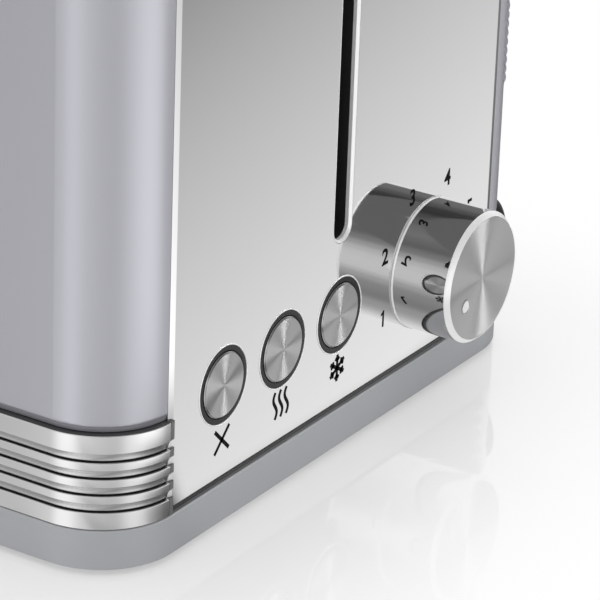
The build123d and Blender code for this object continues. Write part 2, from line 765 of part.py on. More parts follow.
def carriage():
    """Sliding carriage: cross bar, two legs to the racks, a keeper leg and the rod's bush."""
    y1 = arm_y_back
    y0 = y1 - CARRIAGE_SHEET
    top = LEVER_HEIGHT + LEVER_ARM_HEIGHT / 2
    low = RACK_HEIGHT - RACK_STRIP_HEIGHT
    bar_low = top - CARRIAGE_BAR
    pieces = [block(-CARRIAGE_HALF, CARRIAGE_HALF, y0, y1, bar_low, top)]
    for s in (-1, 1):
        x0, x1 = sorted((s * CARRIAGE_HALF, s * (CARRIAGE_HALF - CARRIAGE_LEG)))
        pieces.append(block(x0, x1, y0, y1, low, bar_low))
    keeper_half = CARRIAGE_LEG / 2
    pieces.append(block(MAGNET_X - keeper_half, MAGNET_X + keeper_half, y0, y1,
                        keeper_top, bar_low))
    pieces.append(rod_z(ROD_X, rod_y, bush_low, bush_top, BUSH_RADIUS))
    pieces.append(block(ROD_X - BUSH_RADIUS / 2, ROD_X + BUSH_RADIUS / 2, rod_y, y0,
                        bush_low, bush_top))
    body = pieces[0].fuse(*pieces[1:])
    return body - rod_z(ROD_X, rod_y, bush_low - CUT, bush_top + CUT,
                        ROD_RADIUS + BUSH_CLEARANCE)


def keeper_plate():
    """Iron plate under the carriage that the magnet holds when the lever is down."""
    half = KEEPER_SIZE / 2
    magnet_y = chassis_front - MAGNET_REACH
    return block(MAGNET_X - half, MAGNET_X + half, magnet_y - half, arm_y_back,
                 keeper_low, keeper_top)


def lever_arm():
    """Bar from the carriage through the slot into the handle."""
    half = LEVER_ARM_WIDTH / 2
    z0 = LEVER_HEIGHT - LEVER_ARM_HEIGHT / 2
    y1 = arm_y_back - CARRIAGE_SHEET
    return block(-half, half, handle_back - HANDLE_SOCKET, y1, z0, z0 + LEVER_ARM_HEIGHT)


def lever_handle():
    """Rounded grip on the end of the lever."""
    z0 = LEVER_HEIGHT - HANDLE_HEIGHT / 2
    grip = block(-HANDLE_WIDTH / 2, HANDLE_WIDTH / 2, handle_front, handle_back, z0,
                 z0 + HANDLE_HEIGHT)
    grip = fillet(grip.edges().filter_by(Axis.Y), HANDLE_SIDE_ROUND)
    grip = fillet(grip.faces().sort_by(Axis.Y)[0].edges(), HANDLE_FRONT_ROUND)
    half = LEVER_ARM_WIDTH / 2 + SEAT
    tall = LEVER_ARM_HEIGHT / 2 + SEAT
    return grip - block(-half, half, handle_back - HANDLE_SOCKET - SEAT, handle_back + CUT,
                        LEVER_HEIGHT - tall, LEVER_HEIGHT + tall)


def rod_bracket(z0):
    """Bracket from the chassis plate that holds one end of the guide rod."""
    half = BRACKET_WIDTH / 2
    arm = block(ROD_X - half, ROD_X + half, rod_y - half, chassis_front, z0,
                z0 + BRACKET_SHEET)
    return arm - rod_z(ROD_X, rod_y, z0 - CUT, z0 + BRACKET_SHEET + CUT, ROD_RADIUS + SEAT / 2)


def rod_brackets():
    return Compound(children=[rod_bracket(ROD_LOW), rod_bracket(ROD_HIGH - BRACKET_SHEET)])


def guide_rod():
    """Upright steel rod that the carriage slides on."""
    return rod_z(ROD_X, rod_y, ROD_LOW, ROD_HIGH, ROD_RADIUS)


def return_spring():
    """Compression spring round the rod, one unbroken wire."""
    length = spring_high - spring_low - SPRING_WIRE
    path = Helix(length / SPRING_TURNS, length, SPRING_RADIUS)
    start = path @ 0
    section = Plane(origin=start, z_dir=path % 0) * Circle(SPRING_WIRE / 2)
    coil = sweep(section, path, is_frenet=True)
    return Pos(ROD_X, rod_y, spring_low + SPRING_WIRE / 2) * coil


def magnet_core():
    """Iron core that stands on the base's floor."""
    y = chassis_front - MAGNET_REACH
    return rod_z(MAGNET_X, y, base_floor_top, magnet_top, MAGNET_CORE_RADIUS)


def magnet_coil():
    """Bobbin and winding round the core, drawn as one drum with flanges."""
    y = chassis_front - MAGNET_REACH
    low = base_floor_top
    high = magnet_top - RUN
    drum = rod_z(MAGNET_X, y, low, high, MAGNET_COIL_RADIUS)
    waist = rod_z(MAGNET_X, y, low + MAGNET_FLANGE, high - MAGNET_FLANGE,
                  MAGNET_COIL_RADIUS + CUT)
    waist -= rod_z(MAGNET_X, y, low, high, MAGNET_CORE_RADIUS + MAGNET_COIL_WALL)
    return drum - waist - rod_z(MAGNET_X, y, low - CUT, high + CUT, MAGNET_CORE_RADIUS + SEAT)


def control_board():
    """Circuit board behind the buttons and the knob."""
    y1 = pcb_face + PCB_SHEET
    board = block(-pcb_half, pcb_half, pcb_face, y1, PCB_LOW, PCB_HIGH)
    for x, z in post_places():
        board -= rod_y_axis(x, z, pcb_face - CUT, y1 + CUT, SCREW_RADIUS + SEAT)
    return board


def post_places():
    x = pcb_half - PCB_POST_INSET
    return [(sx * x, z) for sx in (-1, 1)
            for z in (PCB_LOW + PCB_POST_INSET, PCB_HIGH - PCB_POST_INSET)]


def board_posts():
    """Four spacers between the front panel and the circuit board."""
    posts = [rod_y_axis(x, z, -panel_back, pcb_face, PCB_POST_RADIUS)
             for x, z in post_places()]
    return Compound(children=posts)


def board_screws():
    """Four screws that hold the circuit board to its spacers."""
    screws = []
    y = pcb_face + PCB_SHEET
    for x, z in post_places():
        screws.append(rod_y_axis(x, z, y, y + SCREW_HEAD, SCREW_HEAD_RADIUS)
                      + rod_y_axis(x, z, pcb_face, y, SCREW_RADIUS))
    return Compound(children=screws)


def chassis_screws():
    """Four screws up through the base into the chassis plates' feet."""
    screws = []
    for x, y in chassis_screw_places():
        head = rod_z(x, y, body_low - SCREW_HEAD, body_low, SCREW_HEAD_RADIUS)
        screws.append(head + rod_z(x, y, body_low, body_low + SCREW_LENGTH, SCREW_RADIUS))
    return Compound(children=screws)


def switch_bodies():
    """Three push switches on the circuit board."""
    half = SWITCH_SIZE / 2
    return Compound(children=[block(x - half, x + half, pcb_face - SWITCH_DEPTH, pcb_face,
                                    z - half, z + half) for x, z in button_places()])


def potentiometer():
    """Round control body that carries the knob's shaft."""
    body = rod_y_axis(knob_x, CONTROL_HEIGHT, pcb_face - POT_DEPTH, pcb_face, POT_RADIUS)
    return body - rod_y_axis(knob_x, CONTROL_HEIGHT, pcb_face - POT_DEPTH - CUT,
                             pcb_face - POT_DEPTH / 4, SHAFT_RADIUS + SHAFT_CLEARANCE)


def control_shaft():
    """Shaft from the control body into the knob's hub."""
    y0 = -panel_face - KNOB_LENGTH + KNOB_FACE_WALL + SHAFT_END_GAP
    y1 = pcb_face - POT_DEPTH / 4 - RUN
    return rod_y_axis(knob_x, CONTROL_HEIGHT, y0, y1, SHAFT_RADIUS)


def knob_sleeve():
    """Polished knob body: a hollow cylinder with a bright front chamfer."""
    front = -panel_face - KNOB_LENGTH
    back = -panel_face - KNOB_GAP
    body = rod_y_axis(knob_x, CONTROL_HEIGHT, front, back, KNOB_RADIUS)
    body = chamfer(body.faces().sort_by(Axis.Y)[0].edges(), KNOB_CHAMFER)
    body = chamfer(body.faces().sort_by(Axis.Y)[-1].edges(), KNOB_REAR_CHAMFER)
    body -= rod_y_axis(knob_x, CONTROL_HEIGHT, front + KNOB_FACE_WALL, back + CUT,
                       KNOB_RADIUS - KNOB_WALL)
    face_radius = KNOB_RADIUS - KNOB_CHAMFER
    body -= rod_y_axis(knob_x, CONTROL_HEIGHT, front - CUT, front + KNOB_FACE_INLAY,
                       face_radius - SEAT)
    return body


def knob_dot_place():
    a = radians(KNOB_REST_ANGLE)
    return knob_x + KNOB_DOT_ORBIT * cos(a), CONTROL_HEIGHT + KNOB_DOT_ORBIT * sin(a)


def knob_face():
    """Spun metal disc let into the front of the knob."""
    front = -panel_face - KNOB_LENGTH
    disc = rod_y_axis(knob_x, CONTROL_HEIGHT, front, front + KNOB_FACE_INLAY,
                      KNOB_RADIUS - KNOB_CHAMFER - 2 * SEAT)
    x, z = knob_dot_place()
    return disc - rod_y_axis(x, z, front - CUT, front + KNOB_FACE_INLAY + CUT,
                             KNOB_DOT_RADIUS + SEAT / 2)


def knob_dot():
    """Pale pointer dot in the knob's face."""
    front = -panel_face - KNOB_LENGTH
    x, z = knob_dot_place()
    return rod_y_axis(x, z, front, front + KNOB_FACE_INLAY, KNOB_DOT_RADIUS)


def knob_hub():
    """Moulded hub inside the knob that grips the shaft."""
    front = -panel_face - KNOB_LENGTH + KNOB_FACE_WALL
    back = -panel_face - KNOB_GAP
    hub = rod_y_axis(knob_x, CONTROL_HEIGHT, front, back, KNOB_HUB_RADIUS)
    web = KNOB_RADIUS - KNOB_WALL - SEAT
    thick = KNOB_WALL
    hub += block(knob_x - web, knob_x + web, front, back - KNOB_WEB_STEP,
                 CONTROL_HEIGHT - thick / 2, CONTROL_HEIGHT + thick / 2)
    hub += block(knob_x - thick / 2, knob_x + thick / 2, front, back - KNOB_WEB_STEP,
                 CONTROL_HEIGHT - web, CONTROL_HEIGHT + web)
    return hub - rod_y_axis(knob_x, CONTROL_HEIGHT, front + SHAFT_END_GAP - SEAT, back + CUT,
                            SHAFT_RADIUS + SEAT)


def button_cap(x, z):
    """Spun metal disc on the front of one button."""
    front = -panel_face - BUTTON_PROUD
    return rod_y_axis(x, z, front, front + BUTTON_DISC, BUTTON_RADIUS - BUTTON_RIM)


def button_stem(x, z):
    """Moulded button that holds the disc, with a stem to just short of the switch."""
    front = -panel_face - BUTTON_PROUD
    back = front + BUTTON_THICK
    head = rod_y_axis(x, z, front + BUTTON_RIM_DROP, back, BUTTON_RADIUS)
    head -= rod_y_axis(x, z, front, front + BUTTON_DISC, BUTTON_RADIUS - BUTTON_RIM + SEAT / 2)
    end = pcb_face - SWITCH_DEPTH - BUTTON_TRAVEL - RUN
    step = end - 2 * STEM_TIP
    return (head + rod_y_axis(x, z, back, step, STEM_RADIUS)
            + rod_y_axis(x, z, step, end, STEM_TIP))


def terminal_block():
    """Block that takes the cord's wires inside the body."""
    size = TERMINAL_SIZE
    x0 = pcb_half - size / 2
    y0 = pcb_face + TERMINAL_GAP
    top = base_floor_top + size
    body = block(x0, x0 + size, y0, y0 + size, base_floor_top, top)
    for s in (-1, 1):
        x = x0 + (size + s * TERMINAL_PITCH) / 2
        body -= rod_z(x, y0 + size / 2, top - size / 2, top + CUT, SCREW_RADIUS)
    return body


def crumb_tray():
    """Shallow sheet pan that slides out at the rear."""
    z0 = tray_low
    z1 = z0 + TRAY_HEIGHT
    pan = block(-TRAY_HALF, TRAY_HALF, tray_front, tray_back, z0, z1)
    return pan - block(-TRAY_HALF + TRAY_SHEET, TRAY_HALF - TRAY_SHEET,
                       tray_front + TRAY_SHEET, tray_back - TRAY_SHEET,
                       z0 + TRAY_SHEET, z1 + CUT)


def tray_handle():
    """Grip on the tray's rear end."""
    z0 = tray_low
    grip = block(-TRAY_HANDLE_HALF, TRAY_HANDLE_HALF, tray_back,
                 tray_back + TRAY_HANDLE_DEPTH, z0, z0 + TRAY_HANDLE_HEIGHT)
    grip = fillet(grip.edges().filter_by(Axis.Z).sort_by(Axis.Y)[-2:],
                  TRAY_HANDLE_DEPTH / 2)
    return fillet(grip.faces().sort_by(Axis.Z)[-1].edges().sort_by(Axis.Y)[-3:],
                  TRAY_HANDLE_ROUND)


save("base", base())
save("rubber_feet", rubber_feet())
whole_shell = shell()
save("shell_left", shell_half(whole_shell, -1))
save("shell_right", shell_half(whole_shell, 1))
save("band_left", band(-1))
save("band_right", band(1))
save("gaskets", gaskets())
save("front_panel", front_panel())
save("rear_panel", rear_panel())
save("top_plate", top_plate())
save("slot_trim", slot_trim())
save("lever_slot_liner", lever_slot_liner())
save("button_bezels", button_bezels())
save("vent_grille", vent_grille())
save("cord_gland", cord_gland())
save("chassis_front", chassis_plate())
save("chassis_rear", mirror(chassis_plate(), Plane.XZ))
save("heat_shield_left", heat_shield(-1))
save("heat_shield_right", heat_shield(1))
save("heater_board_left", heater_board(-BOARD_SPREAD))
save("heater_board_centre", heater_board(0))
save("heater_board_right", heater_board(BOARD_SPREAD))
save("heater_ribbons_left", heater_ribbons(-BOARD_SPREAD, [1]))
save("heater_ribbons_centre", heater_ribbons(0, [-1, 1]))
save("heater_ribbons_right", heater_ribbons(BOARD_SPREAD, [-1]))
for name, x in guard_places():
    save(name, guard(x))
save("bread_rack_left", bread_rack(-SLOT_CENTRE))
save("bread_rack_right", bread_rack(SLOT_CENTRE))
save("carriage", carriage())
save("keeper_plate", keeper_plate())
save("lever_arm", lever_arm())
save("lever_handle", lever_handle())
save("rod_brackets", rod_brackets())
save("guide_rod", guide_rod())
save("return_spring", return_spring())
save("magnet_core", magnet_core())
save("magnet_coil", magnet_coil())
save("control_board", control_board())
save("board_posts", board_posts())
save("board_screws", board_screws())
save("chassis_screws", chassis_screws())
save("switch_bodies", switch_bodies())
save("potentiometer", potentiometer())
save("control_shaft", control_shaft())
save("knob_sleeve", knob_sleeve())
save("knob_face", knob_face())
save("knob_dot", knob_dot())
save("knob_hub", knob_hub())
for i, name in enumerate(("defrost", "reheat", "cancel")):
    x, z = button_places()[i]
    save(f"{name}_button_cap", button_cap(x, z))
    save(f"{name}_button_stem", button_stem(x, z))
save("terminal_block", terminal_block())
save("crumb_tray", crumb_tray())
save("tray_handle", tray_handle())
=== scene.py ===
import json
from functools import partial
from math import asin, cos, pi, radians, sin, tau

import bmesh
import bpy
from mathutils import Matrix, Vector


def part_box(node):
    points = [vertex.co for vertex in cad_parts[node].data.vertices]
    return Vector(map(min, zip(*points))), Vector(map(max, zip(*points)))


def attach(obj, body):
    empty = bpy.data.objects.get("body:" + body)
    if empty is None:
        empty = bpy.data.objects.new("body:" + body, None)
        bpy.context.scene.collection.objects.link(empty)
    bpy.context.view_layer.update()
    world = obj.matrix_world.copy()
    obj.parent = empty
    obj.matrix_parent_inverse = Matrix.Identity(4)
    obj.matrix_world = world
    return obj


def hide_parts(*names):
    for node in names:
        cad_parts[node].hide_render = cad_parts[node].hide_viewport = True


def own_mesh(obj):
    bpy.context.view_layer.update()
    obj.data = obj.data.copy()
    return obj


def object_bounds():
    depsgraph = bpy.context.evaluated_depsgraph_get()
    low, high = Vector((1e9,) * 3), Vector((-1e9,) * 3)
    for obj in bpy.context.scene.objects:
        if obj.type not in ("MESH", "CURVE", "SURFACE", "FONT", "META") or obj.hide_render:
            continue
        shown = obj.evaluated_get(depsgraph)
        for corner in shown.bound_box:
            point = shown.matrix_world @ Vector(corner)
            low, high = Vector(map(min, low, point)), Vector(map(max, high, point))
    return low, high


bl_info = {
    "name": "Two-Slice Toaster",
    "version": (1, 0, 0),
    "blender": (4, 5, 0),
    "location": "View3D > Sidebar > Toaster",
    "description": "Dresses the packed toaster: finishes, marks, turned and wound pieces, stage",
    "category": "Object",
}

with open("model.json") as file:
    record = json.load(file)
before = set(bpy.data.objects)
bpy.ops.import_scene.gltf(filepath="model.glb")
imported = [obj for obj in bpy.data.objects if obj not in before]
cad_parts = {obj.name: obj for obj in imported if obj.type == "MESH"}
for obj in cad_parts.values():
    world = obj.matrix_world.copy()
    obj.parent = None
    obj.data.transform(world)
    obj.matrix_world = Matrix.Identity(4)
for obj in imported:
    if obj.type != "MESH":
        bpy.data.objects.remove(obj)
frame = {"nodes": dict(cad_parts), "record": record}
CAD_LOW, CAD_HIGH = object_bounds()
RECORD = frame["record"]
BODY_OF = {node: body for body, nodes in RECORD["behaviour"]["bodies"].items()
           for node in nodes}
SLOT_OF = {part["node"]: part["material_slot"] for part in RECORD["subparts"]}
MM = 0.001


def middle_of(name):
    return sum(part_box(name), Vector()) / 2


# Places read from the frame, in metres
PANEL_LOW, PANEL_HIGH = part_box("front_panel")
PANEL_Y = PANEL_LOW.y
REAR_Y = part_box("rear_panel")[1].y
SLEEVE_LOW, SLEEVE_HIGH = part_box("knob_sleeve")
KNOB_RADIUS = (SLEEVE_HIGH.x - SLEEVE_LOW.x) / 2
BAND_LOW, BAND_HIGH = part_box("band_left")
BAND_FOOT = BAND_LOW.z
SHELL_LOW, SHELL_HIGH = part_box("shell_left")
SHELL_FOOT = SHELL_LOW.z
SHELL_REACH = -SHELL_LOW.x
BAND_PROUD = SHELL_LOW.x - BAND_LOW.x
BAND_LIP = SHELL_FOOT - 0.6 * MM
BODY_MIDDLE = (BAND_LOW.y + BAND_HIGH.y) / 2
BODY_HALF = (SHELL_HIGH.y - SHELL_LOW.y) / 2
PANEL_FLANGE = 3.0 * MM
PRINT_DEPTH = 0.03 * MM
BUTTONS = ("cancel", "reheat", "defrost")
SPUN_CENTRES = {"knob": middle_of("knob_sleeve"),
                **{button: middle_of(f"{button}_button_cap") for button in BUTTONS}}
KNOB_CENTRE = SPUN_CENTRES["knob"]


# User settings

def number(label, note, value, **kind):
    return bpy.props.FloatProperty(name=label, description=note, default=value, **kind)


def length(label, note, millimetres):
    return number(label, note, millimetres * MM, unit="LENGTH")


def count(label, note, value, least):
    return bpy.props.IntProperty(name=label, description=note, default=value, min=least)


def colour(label, note, *value):
    return bpy.props.FloatVectorProperty(name=label, description=note, subtype="COLOR",
                                         size=3, default=value, min=0, max=1)


def grey(value):
    return (value, value, value)


class ToasterFinish(bpy.types.PropertyGroup):
    """Colours of the toaster's surfaces."""
    paint: colour("Body paint", "Satin paint on the wrapped body shell", 0.441, 0.443, 0.482)
    mirror: colour("Polished steel", "End panels, knob, top plate, lever grip", *grey(0.79))
    chrome: colour("Satin chrome", "Ribbed bands along the long sides", *grey(0.59))
    spun: colour("Spun steel", "Knob face and button caps", *grey(0.47))
    base: colour("Base plastic", "Moulded base and tray grip", 0.425, 0.435, 0.455)
    dark: colour("Dark trim", "Button bezels and cord inlet", 0.018, 0.018, 0.019)
    ink: colour("Printing ink", "Dial numbers and button marks", *grey(0.004))


class ToasterMarks(bpy.types.PropertyGroup):
    """Sizes of what is printed on the front panel."""
    digit_height: length("Digit height", "Height of the dial numbers", 4.7)
    digit_orbit: length("Digit circle", "Radius of the circle of dial numbers", 23.3)
    first_angle: number("First digit", "Angle of the number 1, counted from the right",
                        radians(202.5), subtype="ANGLE")
    digit_step: number("Digit step", "Angle between two dial numbers", radians(45),
                       subtype="ANGLE")
    icon_height: length("Mark height", "Height of the picture marks below the buttons", 7.6)
    icon_drop: length("Mark drop", "Distance from a button's centre down to its mark", 15.0)
    stroke: length("Mark stroke", "Width of the lines in the picture marks", 1.05)


class ToasterBands(bpy.types.PropertyGroup):
    """Sizes of the ribbed bands."""
    rib_count: count("Middle ribs", "Ribs between the top and the bottom rib", 3, 1)
    rib_pitch: length("Rib pitch", "Distance from one crease to the next", 4.47)
    first_crease: length("First crease", "From the band's top to its first crease", 6.75)
    # The crease gap shows the black wall behind the ribs, which is painted shade
    crease: length("Crease", "Height of the dark gap under each rib", 0.42)
    slope: length("Slope", "Height of the sloping lower part of each rib", 1.9)
    slope_depth: length("Slope depth", "How far the slope runs in", 0.75)
    corner_radius: length("Corner radius", "Radius of the body's corners, in plan", 20.3)
    tooth_reach: length("Tooth reach", "How far a rib's end laps over the panel's bevel", 1.75)


class ToasterControls(bpy.types.PropertyGroup):
    """Sizes of the turned control pieces."""
    # The knob's bevel and rear bead take the brighter edge finish, a painted highlight
    chamfer: length("Knob bevel", "Width of the knob's bright front bevel", 1.25)
    rear_chamfer: length("Rear bevel", "Width of the bevel at the panel", 0.6)
    dish: length("Face dish", "How far the spun faces are hollowed at their centre", 0.12)
    cap_radius: length("Button radius", "Radius of the metal disc of each button", 8.5)
    ring_radius: length("Ring radius", "Outer radius of the ring round a button", 10.25)
    segments: count("Segments", "Facets round each turned piece", 128, 24)


class ToasterInside(bpy.types.PropertyGroup):
    """Sizes of the parts behind the panels."""
    spring_wire: length("Spring wire", "Thickness of the return spring's wire", 1.0)
    spring_turns: count("Spring turns", "Turns of the return spring", 14, 2)
    winding_wire: length("Winding wire", "Thickness of the magnet's enamelled wire", 0.6)
    ribbon_count: count("Ribbons", "Heating ribbons on each face of a board", 10, 2)
    ribbon_width: length("Ribbon width", "Width of a heating ribbon", 2.4)
    ribbon_thickness: length("Ribbon thickness", "Thickness of a heating ribbon", 0.2)
    ribbon_ripple: length("Ribbon ripple", "How far a ribbon stands off its board", 0.08)
    screw_head: length("Screw head", "Radius of the screws' heads", 3.0)


class ToasterStudio(bpy.types.PropertyGroup):
    """Camera, floor and lights."""
    lens: number("Lens", "Focal length of the camera", 225.05, unit="CAMERA")
    ambient: number("Ambient light", "Strength of the plain surrounding light", 0.9, min=0)
    top_power: number("Top softbox", "Power of the softbox above", 4.5, unit="POWER")
    fall_off: number("Mirrored fall-off", "Darkening of the mirrored floor per metre", 3.44)
    rise: number("Mirrored rise", "Brightening per metre to the right", 0.716)
    clear_floor: length("Clear floor", "Where the floor becomes plain white", 100.0)
    floor: colour("Floor", "Colour of the floor", *grey(0.93))


# Nodes

def node(tree, kind, inputs=(), **settings):
    """A new node. Its inputs come by name or in order, each a value or an output socket."""
    made = tree.nodes.new(kind)
    for name, value in settings.items():
        setattr(made, name, value)
    for key, value in inputs.items() if isinstance(inputs, dict) else enumerate(inputs):
        if isinstance(value, bpy.types.NodeSocket):
            tree.links.new(value, made.inputs[key])
        else:
            made.inputs[key].default_value = value
    return made


def calc(tree, operation, *values):
    return node(tree, "ShaderNodeMath", values, operation=operation).outputs[0]


def product(tree, first, *others):
    for value in others:
        first = calc(tree, "MULTIPLY", first, value)
    return first


def vector_calc(tree, operation, *values):
    made = node(tree, "ShaderNodeVectorMath", values, operation=operation)
    return made.outputs["Value" if operation in ("LENGTH", "DISTANCE") else "Vector"]


def noise(tree, scale, detail, **place):
    return node(tree, "ShaderNodeTexNoise", {**place, "Scale": scale, "Detail": detail},
                noise_dimensions="1D" if "W" in place else "3D").outputs["Fac"]


def remap(tree, value, low, high, first=0.0, last=1.0, kind="LINEAR"):
    """Remaps a value from first..last to low..high."""
    return node(tree, "ShaderNodeMapRange",
                {"Value": value, "From Min": first, "From Max": last, "To Min": low,
                 "To Max": high}, interpolation_type=kind).outputs["Result"]


def add_sockets(tree, side, sockets):
    """Named sockets, each given by its default value or by its kind."""
    kinds = {float: "Float", int: "Int", tuple: "Vector"}
    for label, value in sockets.items():
        kind = kinds.get(type(value), value)
        socket = tree.interface.new_socket(label, in_out=side, socket_type=f"NodeSocket{kind}")
        if kind != value:
            socket.default_value = value


# Shader node groups

def make_group(name, sizes, spread, gloss, pattern):
    """A group that turns a pattern of two values, wide and fine, into tone, gloss and height."""
    tree = bpy.data.node_groups.new(name, "ShaderNodeTree")
    add_sockets(tree, "INPUT", {"Vector": "Vector", "Colour": "Color", **sizes,
                                "Tone Spread": spread, "Gloss Low": gloss[0],
                                "Gloss High": gloss[1]})
    add_sockets(tree, "OUTPUT", {"Colour": "Color", "Roughness": "Float", "Height": "Float"})
    given = tree.nodes.new("NodeGroupInput").outputs
    wide, fine = pattern(tree, given)
    tone = remap(tree, wide, calc(tree, "SUBTRACT", 1.0, given["Tone Spread"]),
                 calc(tree, "ADD", 1.0, given["Tone Spread"]))
    shade = node(tree, "ShaderNodeVectorMath", {0: given["Colour"], "Scale": tone},
                 operation="SCALE").outputs[0]
    gloss = remap(tree, wide, given["Gloss Low"], given["Gloss High"])
    node(tree, "NodeGroupOutput", [shade, gloss, fine])


def mottle_pattern(tree, given):
    """Slow patches, with a fine texture as height."""
    return [noise(tree, given[scale], detail, Vector=given["Vector"])
            for scale, detail in (("Patch Scale", 3.0), ("Texture Scale", 2.0))]


def grain_pattern(tree, given):
    """Straight polishing grain: noise drawn out along one axis."""
    along = vector_calc(tree, "MULTIPLY", given["Vector"], given["Stretch"])
    return [noise(tree, given["Scale"], 3.0, Vector=along)] * 2


def ring_pattern(tree, given):
    """Turning rings about the Y axis."""
    flat = vector_calc(tree, "MULTIPLY", given["Vector"], (1.0, 0.0, 1.0))
    return [noise(tree, given["Rings"], 3.0, W=vector_calc(tree, "LENGTH", flat))] * 2


def make_groups():
    make_group("Surface Mottle", {"Patch Scale": 30.0, "Texture Scale": 1500.0}, 0.03,
               (0.3, 0.36), mottle_pattern)
    make_group("Polishing Grain", {"Stretch": (1.0, 1.0, 1.0), "Scale": 1800.0}, 0.02,
               (0.1, 0.14), grain_pattern)
    make_group("Turning Rings", {"Rings": 5000.0}, 0.06, (0.28, 0.36), ring_pattern)


# Materials

BUMP_DISTANCE = 0.02 * MM
COAT_ROUGHNESS = 0.1
QUARTER_TURN = 0.25


def material_with(name, group_name, tint, gloss, centre=None, bump=0.0, **values):
    """A material whose tone, gloss and fine relief come from one shared group."""
    made = bpy.data.materials.new(name)
    made.use_nodes = True
    tree = made.node_tree
    shader = tree.nodes["Principled BSDF"]
    vector = node(tree, "ShaderNodeTexCoord").outputs["Object"]
    if centre is not None:
        vector = node(tree, "ShaderNodeMapping",
                      {"Vector": vector, "Location": -centre}).outputs["Vector"]
    group = node(tree, "ShaderNodeGroup", node_tree=bpy.data.node_groups[group_name])
    links = [(vector, group.inputs["Vector"]),
             (group.outputs["Colour"], shader.inputs["Base Color"]),
             (group.outputs["Roughness"], shader.inputs["Roughness"])]
    if bump:
        relief = node(tree, "ShaderNodeBump", {"Strength": bump, "Distance": BUMP_DISTANCE,
                                               "Height": group.outputs["Height"]})
        links.append((relief.outputs["Normal"], shader.inputs["Normal"]))
    if "anisotropic" in values:
        round_y = node(tree, "ShaderNodeTangent", direction_type="RADIAL", axis="Y")
        links.append((round_y.outputs["Tangent"], shader.inputs["Tangent"]))
    for source, target in links:
        tree.links.new(source, target)
    sockets = {socket.name.lower(): socket for socket in (*shader.inputs, *group.inputs)}
    values.update(colour=(*tint, 1.0), gloss_low=gloss[0], gloss_high=gloss[1],
                  coat_roughness=COAT_ROUGHNESS)
    for label, value in values.items():
        sockets[label.replace("_", " ")].default_value = value


# Brushed finishes: name, slot, colour setting, gloss, bump, stretch, scale, tone spread
BRUSHED = (
    ("panel_steel", "polished_steel", "mirror", (0.03, 0.05), 0.03, (1, 1, 0.02), 2600, 0.008),
    ("top_steel", "polished_steel", "mirror", (0.14, 0.19), 0.05, (1, 0.02, 1), 2600, 0.012),
    ("knob_steel", "polished_steel", "mirror", (0.04, 0.07), 0.03, (1, 1, 1), 900, 0.01),
    ("band_chrome", "satin_chrome", "chrome", (0.25, 0.28), 0.015, (0.05, 0.05, 1), 3000,
     0.006),
)
# Mottled finishes: name, slot, colour or its setting, gloss, metallic, specular level, coat,
# bump. Then patch scale, texture scale and tone spread, where they aren't the group's own
MOTTLED = (
    ("body_paint", "painted_shell", "paint", (0.33, 0.38), 0.6, 0.5, 0, 0.06, 18, 900, 0.012),
    ("dark_steel", "polished_steel", grey(0.40), (0.2, 0.3), 0.8, 0.5, 0, 0),
    # A brighter, more diffuse copy of the polished steel for rims and bevels: a painted
    # highlight
    ("bright_edge", "polished_steel", grey(0.95), (0.36, 0.42), 0.35, 0.5, 0, 0),
    # A darker copy of the band chrome for the rib ends: painted shade
    ("shaded_chrome", "satin_chrome", grey(0.16), (0.45, 0.55), 0.4, 0.5, 0, 0),
    ("base_plastic", "grey_plastic", "base", (0.42, 0.5), 0, 0.5, 0, 0.25, 25, 2200, 0.02),
    ("dark_trim", "dark_plastic", "dark", (0.4, 0.48), 0, 0.25, 0, 0.05, 30, 1800),
    # A darker grey for the base's top ledge at the panels: painted shade
    ("seal_grey", "dark_plastic", (0.10, 0.10, 0.105), (0.4, 0.5), 0, 0.3, 0, 0),
    ("black_moulding", "black_plastic", (0.012, 0.012, 0.013), (0.5, 0.6), 0, 0.5, 0, 0.2, 30,
     2000),
    # Dark seals in the gaps at the bands and panels: partly a real seal, partly painted shade
    # for the gap
    ("gasket_grey", "black_plastic", (0.04, 0.04, 0.042), (0.4, 0.5), 0, 0.3, 0, 0),
    # Black for the wall behind the ribs: painted shade in the creases
    ("crease_dark", "black_plastic", grey(0.01), (0.5, 0.6), 0, 0.1, 0, 0),
    ("feet_rubber", "foot_rubber", (0.02, 0.02, 0.021), (0.7, 0.85), 0, 0.5, 0, 0.4, 30, 1200),
    ("zinc_sheet", "plated_sheet", (0.55, 0.56, 0.57), (0.3, 0.42), 1, 0.5, 0, 0.1, 120, 1500,
     0.08),
    ("bright_wire", "wire_steel", grey(0.56), (0.2, 0.3), 1, 0.5, 0, 0.05, 60, 1500, 0.05),
    ("mineral_board", "heater_board", (0.50, 0.42, 0.29), (0.6, 0.75), 0, 0.5, 0, 0.5, 80, 900,
     0.12),
    ("ribbon_metal", "heater_ribbon", (0.30, 0.27, 0.25), (0.4, 0.55), 1, 0.5, 0, 0.1, 300,
     1500, 0.15),
    ("board_lacquer", "circuit_board", (0.015, 0.13, 0.05), (0.3, 0.4), 0, 0.5, 0.5, 0.1, 200,
     1500, 0.1),
    ("coil_wire", "coil_copper", (0.45, 0.16, 0.06), (0.25, 0.35), 0, 0.5, 0.6, 0.1, 400, 1500,
     0.08),
    ("pointer_white", "white_dot", grey(0.93), (0.25, 0.3), 0, 0.5, 0.4, 0.02),
    ("panel_ink", None, "ink", (0.45, 0.55), 0, 0.04, 0, 0.05),
)
PATTERN = ("patch_scale", "texture_scale", "tone_spread")
SPUN = {f"spun_{name}": centre for name, centre in SPUN_CENTRES.items()}
SLOT_OF_FINISH = {**{row[0]: row[1] for row in (*BRUSHED, *MOTTLED)},
                  **dict.fromkeys(SPUN, "spun_steel")}
# A slot's own finish is the first one listed with it
FINISH_OF_SLOT = {slot: name for name, slot in reversed(SLOT_OF_FINISH.items())}
FINISH_OF_NODE = {"top_plate": "top_steel", "knob_sleeve": "knob_steel",
                  "lever_handle": "knob_steel"}


